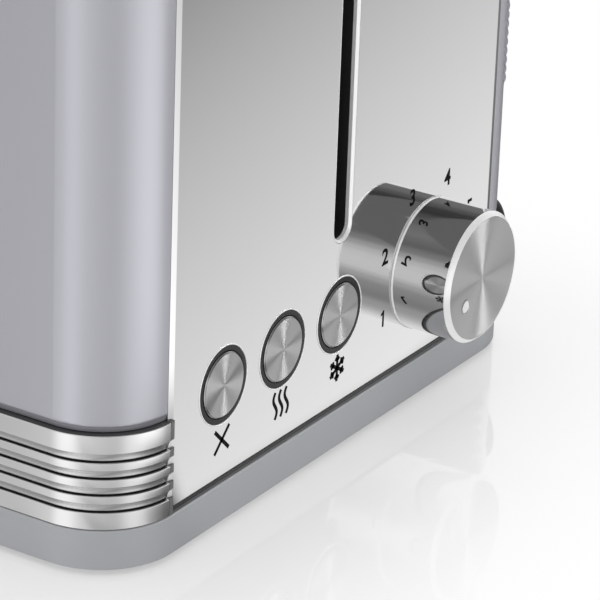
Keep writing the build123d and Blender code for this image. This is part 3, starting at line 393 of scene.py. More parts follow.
def make_materials(finish):
    for name, _, tint, gloss, bump, stretch, scale, spread in BRUSHED:
        material_with(name, "Polishing Grain", getattr(finish, tint), gloss, bump=bump,
                      metallic=1, stretch=stretch, scale=scale, tone_spread=spread)
    for name, centre in SPUN.items():
        material_with(name, "Turning Rings", finish.spun, (0.38, 0.44), centre, 0.04,
                      metallic=1, anisotropic=1, anisotropic_rotation=QUARTER_TURN,
                      rings=9000, tone_spread=0.03)
    for name, _, tint, gloss, metallic, specular, coat, bump, *pattern in MOTTLED:
        tint = getattr(finish, tint) if isinstance(tint, str) else tint
        material_with(name, "Surface Mottle", tint, gloss, bump=bump, metallic=metallic,
                      specular_ior_level=specular, coat_weight=coat,
                      **dict(zip(PATTERN, pattern)))


def dress(obj, finish):
    """Gives an object one material."""
    obj.data.materials.clear()
    obj.data.materials.append(bpy.data.materials[finish])


class TOASTER_OT_finishes(bpy.types.Operator):
    """Make the materials and put them on every piece of the frame."""
    bl_idname = "toaster.finishes"
    bl_label = "Finishes"

    def execute(self, context):
        make_groups()
        make_materials(context.scene.toaster_finish)
        for name, obj in frame["nodes"].items():
            dress(obj, FINISH_OF_NODE.get(name, FINISH_OF_SLOT[SLOT_OF[name]]))
        return {"FINISHED"}


# Mesh helpers

def link_object(name, data):
    made = bpy.data.objects.new(name, data)
    bpy.context.scene.collection.objects.link(made)
    return made


def piece(name, mesh, finish, node_name=None, body="housing"):
    """A named piece with its finish and body, in place of a node where one is given."""
    obj = link_object(name, mesh)
    dress(obj, finish)
    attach(obj, BODY_OF.get(node_name, body))
    if node_name:
        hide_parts(node_name)
    return obj


def baked(obj):
    """The evaluated mesh of a helper object, which is then removed."""
    bpy.context.view_layer.update()
    graph = bpy.context.evaluated_depsgraph_get()
    made = bpy.data.meshes.new_from_object(obj.evaluated_get(graph))
    obj.modifiers.clear()
    bpy.data.objects.remove(obj)
    return made


def smooth(mesh, degrees):
    """Smooth shading that keeps edges sharper than the given angle."""
    mesh.shade_smooth()
    mesh.set_sharp_from_angle(angle=radians(degrees))
    return mesh


def as_mesh(made):
    """Ends a bmesh as a mesh."""
    mesh = bpy.data.meshes.new("piece")
    made.to_mesh(mesh)
    made.free()
    return mesh


def closed(made, degrees=None):
    """Turns the faces outwards and ends a bmesh, smooth where an angle is given."""
    bmesh.ops.recalc_face_normals(made, faces=made.faces)
    mesh = as_mesh(made)
    return smooth(mesh, degrees) if degrees else mesh


def loft(loops, degrees=None, ring=False, caps=True):
    """A mesh through loops of points, capped or joined up. A loop may be a single point."""
    made = bmesh.new()
    rows = [[made.verts.new(p) for p in loop] for loop in loops]
    for a, b in zip(rows, rows[1:] + (rows[:1] if ring else [])):
        for i in range(max(len(a), len(b))):
            corners = (a[i % len(a)], a[(i + 1) % len(a)], b[(i + 1) % len(b)], b[i % len(b)])
            face = list(dict.fromkeys(corners))
            if len(face) > 2:
                made.faces.new(face)
    if caps and not ring:
        made.faces.new(rows[0])
        made.faces.new(rows[-1])
    return closed(made, degrees)


def join_meshes(meshes):
    """One mesh out of several, each removed once it is in."""
    joined = bmesh.new()
    for mesh in meshes:
        joined.from_mesh(mesh)
        bpy.data.meshes.remove(mesh)
    return as_mesh(joined)


def bar_mesh(low, high, edge):
    """A straight bar between two corners with rounded edges."""
    bar = bmesh.new()
    bmesh.ops.create_cube(bar, size=1.0)
    low, high = Vector(low), Vector(high)
    for v in bar.verts:
        v.co = v.co * (high - low) + (low + high) / 2
    bmesh.ops.bevel(bar, geom=bar.edges[:], offset=edge, segments=3, profile=0.5,
                    affect="EDGES", clamp_overlap=True)
    return closed(bar, 35)


def polar(centre, radius, angle):
    return (centre[0] + radius * cos(angle), centre[1] + radius * sin(angle))


def arc_points(centre, radius, first, last, steps):
    """Points on an arc, angles in degrees."""
    return [polar(centre, radius, radians(first + (last - first) * i / steps))
            for i in range(steps + 1)]


def lathe(profile, centre, segments):
    """A closed turned mesh about an axis along Y. Profile points are (radius, y)."""
    loops = []
    for radius, y in profile:
        ring = [polar(centre, radius, tau * i / segments)
                for i in range(segments if radius > 0 else 1)]
        loops.append([(x, y, z) for x, z in ring])
    return loft(loops, 25, ring=len(loops[0]) > 1, caps=False)


# Geometry Nodes

def make_tree(name, inputs, build):
    """A geometry tree that ends in realized instances with one material."""
    tree = bpy.data.node_groups.new(name, "GeometryNodeTree")
    add_sockets(tree, "INPUT", {"Geometry": "Geometry", **inputs, "Material": "Material"})
    add_sockets(tree, "OUTPUT", {"Geometry": "Geometry"})
    given = tree.nodes.new("NodeGroupInput").outputs
    solid = node(tree, "GeometryNodeRealizeInstances", [build(tree, given)])
    paint = node(tree, "GeometryNodeSetMaterial",
                 {"Geometry": solid.outputs[0], "Material": given["Material"]})
    node(tree, "NodeGroupOutput", [paint.outputs[0]])


def copies(tree, points, sample):
    return node(tree, "GeometryNodeInstanceOnPoints",
                {"Points": points, "Instance": sample}).outputs[0]


def row_of_copies(tree, given):
    """Copies of the given mesh in a straight row."""
    line = node(tree, "GeometryNodeMeshLine",
                {"Count": given["Count"], "Offset": given["Step"]}, mode="OFFSET")
    return copies(tree, line.outputs[0], given["Geometry"])


def copies_on_points(tree, given):
    """The given object on every point of the mesh."""
    sample = node(tree, "GeometryNodeObjectInfo", {"Object": given["Piece"]})
    return copies(tree, given["Geometry"], sample.outputs["Geometry"])


def round_wire(tree, given):
    """A round wire along the edges of the mesh."""
    path = node(tree, "GeometryNodeMeshToCurve", {"Mesh": given["Geometry"]})
    section = node(tree, "GeometryNodeCurvePrimitiveCircle",
                   {"Resolution": given["Sides"], "Radius": given["Radius"]})
    return node(tree, "GeometryNodeCurveToMesh",
                {"Curve": path.outputs[0], "Profile Curve": section.outputs["Curve"],
                 "Fill Caps": True}).outputs[0]


def make_trees():
    make_tree("Row Of Copies", {"Count": 3, "Step": (0.0, 0.0, 0.01)}, row_of_copies)
    make_tree("Copies On Points", {"Piece": "Object"}, copies_on_points)
    make_tree("Round Wire", {"Radius": 0.001, "Sides": 12}, round_wire)


def grown(mesh, tree_name, finish, **inputs):
    """The plain mesh that a geometry tree makes out of the given one."""
    holder = link_object("grower", mesh)
    modifier = holder.modifiers.new("grow", "NODES")
    modifier.node_group = bpy.data.node_groups[tree_name]
    inputs["material"] = bpy.data.materials[finish]
    for item in modifier.node_group.interface.items_tree:
        if item.in_out == "INPUT" and item.name.lower() in inputs:
            modifier[item.identifier] = inputs[item.name.lower()]
    return baked(holder)


def scattered(sample, places, finish):
    """A copy of a mesh on each place."""
    points = bpy.data.meshes.new("places")
    points.from_pydata(places, [], [])
    holder = link_object("sample", sample)
    made = grown(points, "Copies On Points", finish, piece=holder)
    bpy.data.objects.remove(holder)
    return made


# Inside parts

WINDING_PITCH = 1.03
RIVET_INSET = 3 * MM
FINE_EDGE = 0.03 * MM
# Shares of the screw head's radius and height that its cross recess takes
CROSS_ARM, CROSS_HALF, CROSS_DEPTH = 0.58, 0.11, 0.35

def coil_mesh(centre, radius, wire, low, high, turns, finish, sides, steps=32):
    """A coil of round wire about an upright axis, grown along its path."""
    total = int(turns * steps)
    low, high = low + wire / 2, high - wire / 2
    points = [(*polar(centre, radius, tau * i / steps), low + (high - low) * i / total)
              for i in range(total + 1)]
    path = bpy.data.meshes.new("path")
    path.from_pydata(points, [(i, i + 1) for i in range(total)], [])
    return smooth(grown(path, "Round Wire", finish, radius=wire / 2, sides=sides), 50)


def ribbon_mesh(face, out, first, last, z, width, thick, ripple, steps=80, waves=11):
    """A flat ribbon along Y that lies on a board and stands off it a little in places."""
    loops = []
    for i in range(steps + 1):
        y = first + (last - first) * i / steps
        inner = face + out * ripple * (0.5 - 0.5 * cos(tau * waves * i / steps))
        outer = inner + out * thick
        loops.append([(x, y, z + side * width / 2) for x, side in (
            (inner, -1), (inner, 1), (outer, 1), (outer, -1))])
    return loft(loops, 35)


def screw_mesh(radius, head, shank_radius, shank):
    """A round-headed screw with a cross recess, its head towards +Y."""
    profile = [(radius * r, head * y) for r, y in (
        (0, 1), (0.5, 0.95), (0.8, 0.72), (0.97, 0.35), (1, 0))]
    profile += [(shank_radius, 0.0), (shank_radius, -shank), (0.0, -shank)]
    made = lathe(profile, (0.0, 0.0), 32)
    arm, half, deep = radius * CROSS_ARM, radius * CROSS_HALF, head * CROSS_DEPTH
    for x, z in ((arm, half), (half, arm)):
        body = link_object("body", made)
        tool = link_object("tool", bar_mesh((-x, deep, -z), (x, head + deep, z), 0.02 * MM))
        cut = body.modifiers.new("cut", "BOOLEAN")
        cut.operation = "DIFFERENCE"
        cut.object = tool
        made = baked(body)
        bpy.data.objects.remove(tool)
    return made


def make_spring(sizes):
    low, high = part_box("return_spring")
    centre = middle_of("return_spring").xy
    radius = (high.x - low.x - sizes.spring_wire) / 2
    coil = coil_mesh(centre, radius, sizes.spring_wire, low.z, high.z, sizes.spring_turns,
                     "bright_wire", 16)
    coil = piece("return_spring_coil", coil, "bright_wire", "return_spring")
    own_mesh(coil)


def make_magnet(sizes):
    low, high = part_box("magnet_coil")
    centre = middle_of("magnet_coil").xy
    wire = sizes.winding_wire
    bore, flange = 3.1 * MM, 1.0 * MM
    outer = (high.x - low.x) / 2
    waist = outer - wire - 0.1 * MM
    foot, top = low.z + flange, high.z - flange
    profile = [(bore, low.z), (outer, low.z), (outer, foot), (waist, foot), (waist, top),
               (outer, top), (outer, high.z), (bore, high.z)]
    bobbin = lathe(profile, (0.0, 0.0), 64)
    bobbin.transform(Matrix.Translation((*centre, 0.0)) @ Matrix.Rotation(
        radians(90), 4, "X"))
    piece("magnet_bobbin", bobbin, "black_moulding")
    turns = int((high.z - low.z - 2 * flange - wire) / (wire * WINDING_PITCH))
    winding = coil_mesh(centre, waist + wire / 2, wire, foot, top, turns, "coil_wire", 8)
    piece("magnet_winding", winding, "coil_wire", "magnet_coil")


def make_ribbons(sizes, board, sides):
    """The ribbons of one board, with the links between them and the rivets at their ends."""
    total, width, thick = sizes.ribbon_count, sizes.ribbon_width, sizes.ribbon_thickness
    low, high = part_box(f"heater_ribbons_{board}")
    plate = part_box(f"heater_board_{board}")
    half = width / 2
    step = (high.z - low.z - width) / (total - 1)
    heights = [low.z + half + i * step for i in range(total)]
    pieces = []
    for out in sides:
        face = plate[max(out, 0)].x
        strip = ribbon_mesh(face, out, low.y, high.y, heights[0], width, thick,
                            sizes.ribbon_ripple)
        pieces.append(grown(strip, "Row Of Copies", "ribbon_metal", count=total,
                            step=(0, 0, step)))
        x0, x1 = sorted((face, face + out * thick))
        for i, z in enumerate(heights[:-1]):
            y = low.y + width if i % 2 else high.y - width
            pieces.append(bar_mesh((x0, y - half, z + half), (x1, y + half, z + step - half),
                                   FINE_EDGE))
        rivet = lathe([(0.0, 0.3 * MM), (0.7 * MM, 0.24 * MM), (1.1 * MM, 0.0), (0.0, 0.0)],
                      (0.0, 0.0), 20)
        rivet.transform(Matrix.Rotation(radians(-90 * out), 4, "Z"))
        ends = (low.y + RIVET_INSET, high.y - RIVET_INSET)
        rivets = [(face, y, z) for z in heights for y in ends]
        pieces.append(scattered(rivet, rivets, "ribbon_metal"))
    piece(f"{board}_ribbons", join_meshes(pieces), "ribbon_metal", f"heater_ribbons_{board}")


def make_screws(sizes):
    radius, head, shank_radius = sizes.screw_head, 1.1 * MM, 1.5 * MM
    for name, upright in (("board_screws", False), ("chassis_screws", True)):
        low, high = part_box(name)
        xs = (low.x + radius, high.x - radius)
        size = high - low
        screw = screw_mesh(radius, head, shank_radius, (size.z if upright else size.y) - head)
        if upright:
            screw.transform(Matrix.Rotation(radians(-90), 4, "X"))
            places = [(x, y, low.z + head) for x in xs
                      for y in (low.y + radius, high.y - radius)]
        else:
            places = [(x, high.y - head, z) for x in xs
                      for z in (low.z + radius, high.z - radius)]
        made = scattered(smooth(screw, 30), places, "zinc_sheet")
        piece(f"{name}_heads", smooth(made, 30), "zinc_sheet", name)


class TOASTER_OT_inside(bpy.types.Operator):
    """Wind the spring and the magnet, lay the heating ribbons and set the screws."""
    bl_idname = "toaster.inside"
    bl_label = "Inside Parts"

    def execute(self, context):
        sizes = context.scene.toaster_inside
        make_spring(sizes)
        make_magnet(sizes)
        for board, sides in (("left", (1,)), ("centre", (-1, 1)), ("right", (-1,))):
            make_ribbons(sizes, board, sides)
        make_screws(sizes)
        return {"FINISHED"}


# Turned pieces

def spun_disc(radius, front, back, dish, edge, centre, segments):
    """A disc with a rounded rim and a face that is hollowed towards its centre."""
    steps = 9
    profile = [((radius - edge) * i / steps, front + dish * (1 - (i / steps) ** 2))
               for i in range(steps)]
    profile += arc_points((radius - edge, front + edge), edge, -90, 0, 4)
    profile += [(radius, back), (0.0, back)]
    return lathe(profile, centre, segments)


class TOASTER_OT_knob(bpy.types.Operator):
    """Turn the browning knob: polished body, spun face and pointer dot."""
    bl_idname = "toaster.knob"
    bl_label = "Browning Knob"

    def execute(self, context):
        sizes = context.scene.toaster_controls
        middle, segments = KNOB_CENTRE.xz, sizes.segments
        front, back = SLEEVE_LOW.y, PANEL_Y - 0.12 * MM
        bevel, rear, wall = sizes.chamfer, sizes.rear_chamfer, 1.6 * MM
        hub, floor, soft = 4 * MM, 1.2 * MM, 0.1 * MM
        face_radius = KNOB_RADIUS - bevel
        pocket = front + 0.8 * MM
        groove = front + bevel + 0.15 * MM
        profile = [(KNOB_RADIUS - wall, back), (KNOB_RADIUS - rear, back),
                   *arc_points((KNOB_RADIUS - soft, back - rear), soft, 45, 0, 3),
                   (KNOB_RADIUS, groove), (face_radius, groove), (face_radius, pocket),
                   (hub, pocket), (hub, pocket + floor), (KNOB_RADIUS - wall, pocket + floor)]
        piece("knob_body", lathe(profile, middle, segments), "knob_steel", "knob_sleeve")
        ring = [(face_radius, groove), (KNOB_RADIUS, groove),
                *arc_points((KNOB_RADIUS - soft, front + bevel + soft), soft, 0, -45, 3),
                *arc_points((face_radius + soft, front + soft), soft, -45, -90, 3),
                (face_radius, front + soft)]
        inner = KNOB_RADIUS - rear - 0.1 * MM
        bead = [(inner, PANEL_Y - 0.03 * MM),
                *arc_points((KNOB_RADIUS - 0.12 * MM, PANEL_Y - 0.2 * MM), 0.34 * MM, 30, -60,
                            10),
                (inner, back - rear - 0.3 * MM)]
        # The bevel and the rear bead get the brighter edge finish, a painted highlight
        for name, profile in (("knob_bevel", ring), ("knob_rear_bead", bead)):
            piece(name, lathe(profile, middle, segments), "bright_edge", body="knob")
        face = spun_disc(face_radius - 0.05 * MM, front + 0.04 * MM, pocket - 0.02 * MM,
                         sizes.dish, 0.15 * MM, middle, segments)
        piece("knob_spun_face", face, "spun_knob", "knob_face")
        # The pointer is a thin dark rim and a pale dome, given in radii and millimetres
        low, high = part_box("knob_dot")
        rim = [(0.78, 0.1), (0.86, -0.02), (1.0, 0.02), (1.0, 0.3), (0.78, 0.3)]
        dome = [(0.0, -0.05), (0.3, -0.04), (0.6, 0.01), (0.78, 0.1), (0.78, 0.4), (0.0, 0.4)]
        rim, dome = [lathe([((high.x - low.x) / 2 * r, front + y * MM) for r, y in profile],
                           middle_of("knob_dot").xz, 48) for profile in (rim, dome)]
        piece("knob_dot_rim", rim, "dark_steel", body="knob")
        piece("knob_pointer", dome, "pointer_white", "knob_dot")
        return {"FINISHED"}


class TOASTER_OT_buttons(bpy.types.Operator):
    """Turn the three buttons' spun discs, their dark rings and the hole edges, which are painted
    highlights in a brighter finish.
    """
    bl_idname = "toaster.buttons"
    bl_label = "Push Buttons"

    def execute(self, context):
        sizes = context.scene.toaster_controls
        radius, outer, segments = sizes.cap_radius, sizes.ring_radius, sizes.segments
        bore, deep = radius + 0.3 * MM, 9 * MM
        front = PANEL_Y - 0.1 * MM
        hole = outer + 0.02 * MM
        ring = [(bore, front + deep), (bore, front + 0.35 * MM),
                *arc_points((bore + 0.3 * MM, front + 0.3 * MM), 0.3 * MM, 180, 270, 5),
                *arc_points((outer - 0.15 * MM, front + 0.15 * MM), 0.15 * MM, 270, 360, 4),
                (outer, front + deep)]
        edge = [(hole, PANEL_Y + 0.3 * MM), (hole, PANEL_Y),
                *arc_points((hole + 0.2 * MM, PANEL_Y), 0.2 * MM, 180, 360, 8),
                (hole + 0.4 * MM, PANEL_Y + 0.3 * MM)]
        rim = [(-0.32, 0.5), (-0.32, 0.0), (-0.26, -0.01), (0.12, 0.38), (0.12, 0.5)]
        middles = [SPUN_CENTRES[button].xz for button in BUTTONS]
        for button, middle in zip(BUTTONS, middles):
            cap = f"{button}_button_cap"
            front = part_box(cap)[0].y
            disc = spun_disc(radius - 0.3 * MM, front, front + 0.55 * MM, sizes.dish / 2,
                             0.04 * MM, middle, segments)
            piece(f"{button}_disc", disc, f"spun_{button}", cap)
            disc_rim = lathe([(radius + r * MM, front + y * MM) for r, y in rim], middle,
                             segments)
            piece(f"{button}_disc_rim", disc_rim, "dark_steel", body=BODY_OF[cap])
        rings, edges = [join_meshes([lathe(profile, middle, segments) for middle in middles])
                        for profile in (ring, edge)]
        piece("button_rings", rings, "dark_trim", "button_bezels")
        piece("button_hole_edges", edges, "bright_edge")
        return {"FINISHED"}


class TOASTER_OT_slot(bpy.types.Operator):
    """Edge the lever slot with its bevelled rim, in a brighter finish that is a painted
    highlight.
    """
    bl_idname = "toaster.slot"
    bl_label = "Lever Slot Rim"

    def execute(self, context):
        low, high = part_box("slot_trim")
        outer = (high.x - low.x) / 2
        loops = []
        for inset, y in ((0.0, 0.5), (0.0, 0.02), (0.06, -0.03), (0.16, -0.03), (0.8, 0.62),
                         (0.86, 1.6), (0.3, 1.6)):
            half = outer - inset * MM
            top = high.z - inset * MM
            middle = (0.0, low.z + inset * MM + half)
            points = [(half, top), (-half, top), *arc_points(middle, half, 180, 360, 20)]
            loops.append([(x, PANEL_Y + y * MM, z) for x, z in points])
        piece("slot_rim", loft(loops, 30, ring=True), "bright_edge", "slot_trim")
        return {"FINISHED"}


# Ribbed bands

WALL_DEPTH = 1.2 * MM
END_GAP = 1.1 * MM
CORNER_STEPS = 24
TOOTH_HEIGHT = 0.92
LEDGE_HEIGHT = 0.42
SEAL_EDGE = 0.12 * MM


def plan_sweep(side, radius, profile):
    """A closed section of (offset, z) points carried round one long side and its corners."""
    start = asin(END_GAP / (radius - WALL_DEPTH))
    turns = [start + (pi / 2 - start) * i / CORNER_STEPS for i in range(CORNER_STEPS + 1)]
    rows = [[(side * (SHELL_REACH - radius + (radius + o) * sin(a)),
              BODY_MIDDLE + end * (BODY_HALF - radius + (radius + o) * cos(a)), z)
             for o, z in profile]
            for end, angles in ((-1, turns), (1, turns[::-1])) for a in angles]
    return loft(rows, 30)


def rib_section(top, slope, foot, depth):
    """Section of one rib: rounded shoulders, a flat face and a hollow slope below it."""
    r, step, drop = 0.22 * MM, 0.1 * MM, 0.05 * MM
    high = foot + slope
    points = [(0.0, top), *arc_points((BAND_PROUD - r, top - r), r, 90, 0, 4),
              (BAND_PROUD, high + step), (BAND_PROUD - step, high - drop)]
    if slope:
        points += [(BAND_PROUD - step - (depth - step) * sin(t * pi / 2),
                    high - drop + (drop - slope) * t) for t in (0.2, 0.4, 0.6, 0.8, 1.0)]
    return points + [(0.0, foot)]


def upright(section, low, high):
    """A straight mesh with a section in plan."""
    return loft([[(x, y, z) for x, y in section] for z in (low, high)])


def make_ribs(sweep, name, sizes):
    """The ribs, and behind them a black wall that is painted shade for the creases."""
    crease = BAND_LIP - sizes.first_crease
    high, low = crease - sizes.crease, crease - sizes.rib_pitch
    last = high - sizes.rib_count * sizes.rib_pitch
    depth = sizes.slope_depth
    ribs = [sweep(rib_section(BAND_LIP, sizes.slope, crease, depth)),
            grown(sweep(rib_section(high, sizes.slope, low, depth)), "Row Of Copies",
                  "band_chrome", count=sizes.rib_count, step=(0, 0, -sizes.rib_pitch)),
            sweep(rib_section(last, 0.0, BAND_FOOT + 0.12 * MM, depth))]
    foot, top, face = BAND_FOOT + 0.1 * MM, BAND_LIP - 0.1 * MM, 0.05 * MM
    wall = [(-WALL_DEPTH, foot), (face, foot), (face, top), (-WALL_DEPTH, top)]
    # The wall is painted shade: black where the creases fall in shadow
    piece(f"{name}_creases", sweep(wall), "crease_dark")
    piece(f"{name}_ribs", smooth(join_meshes(ribs), 30), "band_chrome", name)


def make_teeth(side, name, sizes):
    """Rib ends that lap over the end panels' bevels, in a darker chrome that is painted shade,
    and the bevels between them, in a brighter finish that is a painted highlight.
    """
    crease = BAND_LIP - sizes.first_crease
    tops = [BAND_LIP] + [crease - sizes.crease - i * sizes.rib_pitch
                         for i in range(sizes.rib_count + 1)]
    feet = [crease + sizes.slope - i * sizes.rib_pitch for i in range(sizes.rib_count + 1)]
    feet.append(BAND_FOOT + 0.1 * MM)
    x0 = side * (PANEL_HIGH.x - PANEL_FLANGE)
    x1 = x0 - side * sizes.tooth_reach
    blunt = 0.3 * MM
    teeth, strips = [], []
    for end, face in ((-1, PANEL_Y), (1, REAR_Y)):
        rim = BODY_MIDDLE + end * BODY_HALF
        outer = rim + end * BAND_PROUD * TOOTH_HEIGHT
        section = [(x0, rim + end * 0.02 * MM), (x0, outer), (x1 + side * blunt, outer),
                   (x1, outer - end * blunt), (x1, rim + end * 0.42 * MM)]
        teeth += [upright(section, low, high) for low, high in zip(feet, tops)]
        section = [(x0, rim - end * 0.05 * MM), (x0, rim + end * 0.06 * MM),
                   (x1, face + end * 0.04 * MM), (x1, face - end * 0.06 * MM)]
        strips.append(upright(section, BAND_FOOT + 1.4 * MM, BAND_LIP))
    # The ends are painted shade in darker chrome, the strips a painted highlight
    piece(f"{name}_ends", join_meshes(teeth), "shaded_chrome")
    piece(f"{name}_edges", join_meshes(strips), "bright_edge")


def make_seam(sweep, name):
    """The shell's rolled hem, and the seal that shows on the band's lip below it, dark partly as
    painted shade for the gap between shell and band.
    """
    hem = [(-0.9, -0.15), (-0.5, -0.15), (-0.41, 0.45), (-0.26, 1.0), (-0.9, 1.0)]
    hem = [(x * MM, SHELL_FOOT + z * MM) for x, z in hem]
    reach, under, over = BAND_PROUD - 0.35 * MM, BAND_LIP + 0.02 * MM, BAND_LIP + 0.25 * MM
    seal = [(-1.0 * MM, under), (reach, under), (reach - 0.1 * MM, over), (-1.0 * MM, over)]
    piece(f"{name}_shell_hem", sweep(hem), "body_paint")
    piece(f"{name}_seal", sweep(seal), "gasket_grey")


class TOASTER_OT_bands(bpy.types.Operator):
    """Form the two ribbed bands with their creases, lapped ends and seams."""
    bl_idname = "toaster.bands"
    bl_label = "Ribbed Bands"

    def execute(self, context):
        sizes = context.scene.toaster_bands
        make_trees()
        for side, name in ((-1, "band_left"), (1, "band_right")):
            sweep = partial(plan_sweep, side, sizes.corner_radius)
            make_ribs(sweep, name, sizes)
            make_teeth(side, name, sizes)
            make_seam(sweep, name)
        return {"FINISHED"}


class TOASTER_OT_seals(bpy.types.Operator):
    """Lay the dark seal strip, dark partly as painted shade for the gap, and the grey ledge, the
    base's top ledge with painted shade, between each end panel and the base.
    """
    bl_idname = "toaster.seals"
    bl_label = "Panel Seals"

    def execute(self, context):
        for name, out in (("front", -1), ("rear", 1)):
            low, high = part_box(f"{name}_panel")
            face = low.y if out < 0 else high.y
            near, far = sorted((face + out * 0.35 * MM, face - out * 0.9 * MM))
            inset = PANEL_FLANGE + 1.2 * MM
            left, right = low.x + inset, high.x - inset
            step = BAND_FOOT + (low.z - BAND_FOOT) * LEDGE_HEIGHT
            lap = 0.1 * MM
            seal = ((left, near, step), (right, far, low.z + 0.05 * MM))
            ledge = ((left, near - lap, BAND_FOOT - lap), (right, far + lap, step))
            # The seal is dark partly as painted shade for the gap between panel and base
            piece(f"{name}_seal", bar_mesh(*seal, SEAL_EDGE), "gasket_grey")
            # The ledge takes a darker copy of the base plastic: painted shade on the base's top
            # ledge
            piece(f"{name}_ledge", bar_mesh(*ledge, SEAL_EDGE), "seal_grey")
        return {"FINISHED"}


# Printed marks

DIGITS = 6
TEXT_SIZE = 1.4
TEXT_SWELL = 0.035
# Shares of a picture mark's size, and the angle of the snow crystal's forks
CROSS_SHARE = 0.84
WAVE_STEP, WAVE_SWING = 0.34, 0.11
FORK_PLACE, FORK_REACH, FORK_STROKE, FORK_ANGLE = 0.55, 0.17, 0.9, radians(52)

def text_mesh(letters, height):
    """Upright printed figures as a mesh in the XZ plane, centred, facing -Y."""
    curve = bpy.data.curves.new("figures", "FONT")
    curve.body = letters
    curve.size = height * TEXT_SIZE
    curve.offset = height * TEXT_SWELL
    curve.extrude = PRINT_DEPTH / 2
    mesh = baked(link_object("figures", curve))
    mesh.transform(Matrix.Rotation(radians(90), 4, "X"))
    xs, _, zs = zip(*(v.co for v in mesh.vertices))
    scale = height / (max(zs) - min(zs))
    middle = Vector(((max(xs) + min(xs)) / 2, 0, (max(zs) + min(zs)) / 2))
    mesh.transform(Matrix.Diagonal((scale, 1, scale, 1)) @ Matrix.Translation(-middle))
    return mesh


def one_mesh(height):
    """The number 1 with a clear flag, in the XZ plane, centred, facing -Y."""
    outline = [(0.16, -0.5), (0.16, 0.5), (0.04, 0.5), (-0.03, 0.41), (-0.17, 0.35),
               (-0.17, 0.21), (-0.01, 0.27), (-0.01, -0.5)]
    return loft([[(x * height, y, z * height) for x, z in outline]
                 for y in (-PRINT_DEPTH / 2, PRINT_DEPTH / 2)])


def stroke_mesh(points, width):
    """A flat ribbon of even width along points in the XZ plane."""
    rows = []
    for i, p in enumerate(points):
        run = Vector(points[min(i + 1, len(points) - 1)]) - Vector(points[max(i - 1, 0)])
        side = run.normalized().orthogonal() * width / 2
        rows.append([(p[0] + s * side.x, y, p[1] + s * side.y)
                     for s, y in ((-1, 0.0), (1, 0.0), (1, -PRINT_DEPTH), (-1, -PRINT_DEPTH))])
    return loft(rows)


def cross_icon(size, stroke):
    """Stop mark: a plain cross."""
    h = size / 2 * CROSS_SHARE
    return [stroke_mesh([(-h, -s * h), (h, s * h)], stroke) for s in (1, -1)]


def heat_icon(size, stroke, steps=24):
    """Warming mark: three rising waves."""
    wave = [(WAVE_SWING * sin(tau * i / steps), i / steps - 0.5) for i in range(steps + 1)]
    return [stroke_mesh([((k * WAVE_STEP + x) * size, z * size) for x, z in wave], stroke)
            for k in (-1, 0, 1)]


def snow_icon(size, stroke):
    """Thawing mark: a six-armed snow crystal."""
    arms = []
    for k in range(6):
        a = radians(90 + 60 * k)
        tip, fork = [polar((0, 0), size / 2 * share, a) for share in (1, FORK_PLACE)]
        arms.append(stroke_mesh([(0, 0), tip], stroke))
        for turn in (-FORK_ANGLE, FORK_ANGLE):
            end = polar(fork, size * FORK_REACH, a + turn)
            arms.append(stroke_mesh([fork, end], stroke * FORK_STROKE))
    return arms


class TOASTER_OT_marks(bpy.types.Operator):
    """Print the dial numbers and the picture marks on the front panel."""
    bl_idname = "toaster.marks"
    bl_label = "Printed Marks"

    def execute(self, context):
        marks = context.scene.toaster_marks
        height = marks.digit_height
        digits = []
        for i in range(DIGITS):
            x, z = polar(KNOB_CENTRE.xz, marks.digit_orbit,
                         marks.first_angle - i * marks.digit_step)
            digit = text_mesh(str(i + 1), height) if i else one_mesh(height)
            digit.transform(Matrix.Translation((x, PANEL_Y - PRINT_DEPTH / 2, z)))
            digits.append(digit)
        piece("dial_numbers", join_meshes(digits), "panel_ink")
        for button, draw in zip(BUTTONS, (cross_icon, heat_icon, snow_icon)):
            x, z = SPUN_CENTRES[button].xz
            mark = join_meshes(draw(marks.icon_height, marks.stroke))
            mark.transform(Matrix.Translation((x, PANEL_Y, z - marks.icon_drop)))
            piece(f"{button}_mark", mark, "panel_ink")
        return {"FINISHED"}


# Stage

CAMERA_PLACE = (-0.75202, -0.59850, 0.42990)
CAMERA_YAW = radians(57.853)
CAMERA_PITCH = radians(23.713)
CAMERA_ROLL = radians(2.093)
FLOOR_HALF = 3.0
FLOOR_WHITE_SHARE = 0.4
LAMP_PLACE = Vector((0.1, 0.1, 1.5))
LAMP_SIZE = 1.2
LAMP_TARGET = Vector((0, 0, 0.1))
# The Glossy Depth of light that was mirrored once is below this, of twice mirrored above
TWICE_DEPTH = 1.5

CORNER = (PANEL_LOW.x, PANEL_Y + 0.015, 0.0)
# Brightness of the mirrored floor by direction from that front left corner, in degrees
FLOOR_STOPS = [(0, 0.15), (18, 0.15), (40, 1.0), (128, 0.95), (143, 0.6), (151, 0.9),
               (163, 1.65), (175, 1.75), (190, 1.25), (208, 1.0), (234, 0.85), (256, 1.6),
               (270, 2.1), (286, 2.1), (297, 1.6), (308, 0.6), (312, 0.3), (319, 1.0),
               (347, 1.0), (357, 0.15), (360, 0.15)]
# The same close to that corner, and the distances in metres between which the two blend
NEAR_STOPS = [(0, 0.15), (18, 0.15), (40, 1.0), (128, 0.95), (143, 0.75), (151, 0.95),
              (163, 1.55), (175, 1.5), (190, 1.05), (208, 0.85), (230, 0.75), (252, 1.25),
              (264, 1.1), (276, 0.5), (290, 0.25), (298, 0.12), (311, 0.12), (319, 1.0),
              (347, 1.0), (357, 0.15), (360, 0.15)]
NEAR_BLEND = (0.06, 0.14)
# Directions in which the fall-off and the rise count, and the limits of their sum
SLOPED_STOPS = [(0, 1.0), (120, 1.0), (136, 0.1), (292, 0.1), (314, 1.0), (360, 1.0)]
LEVEL_LIMITS = (0.3, 1.02)
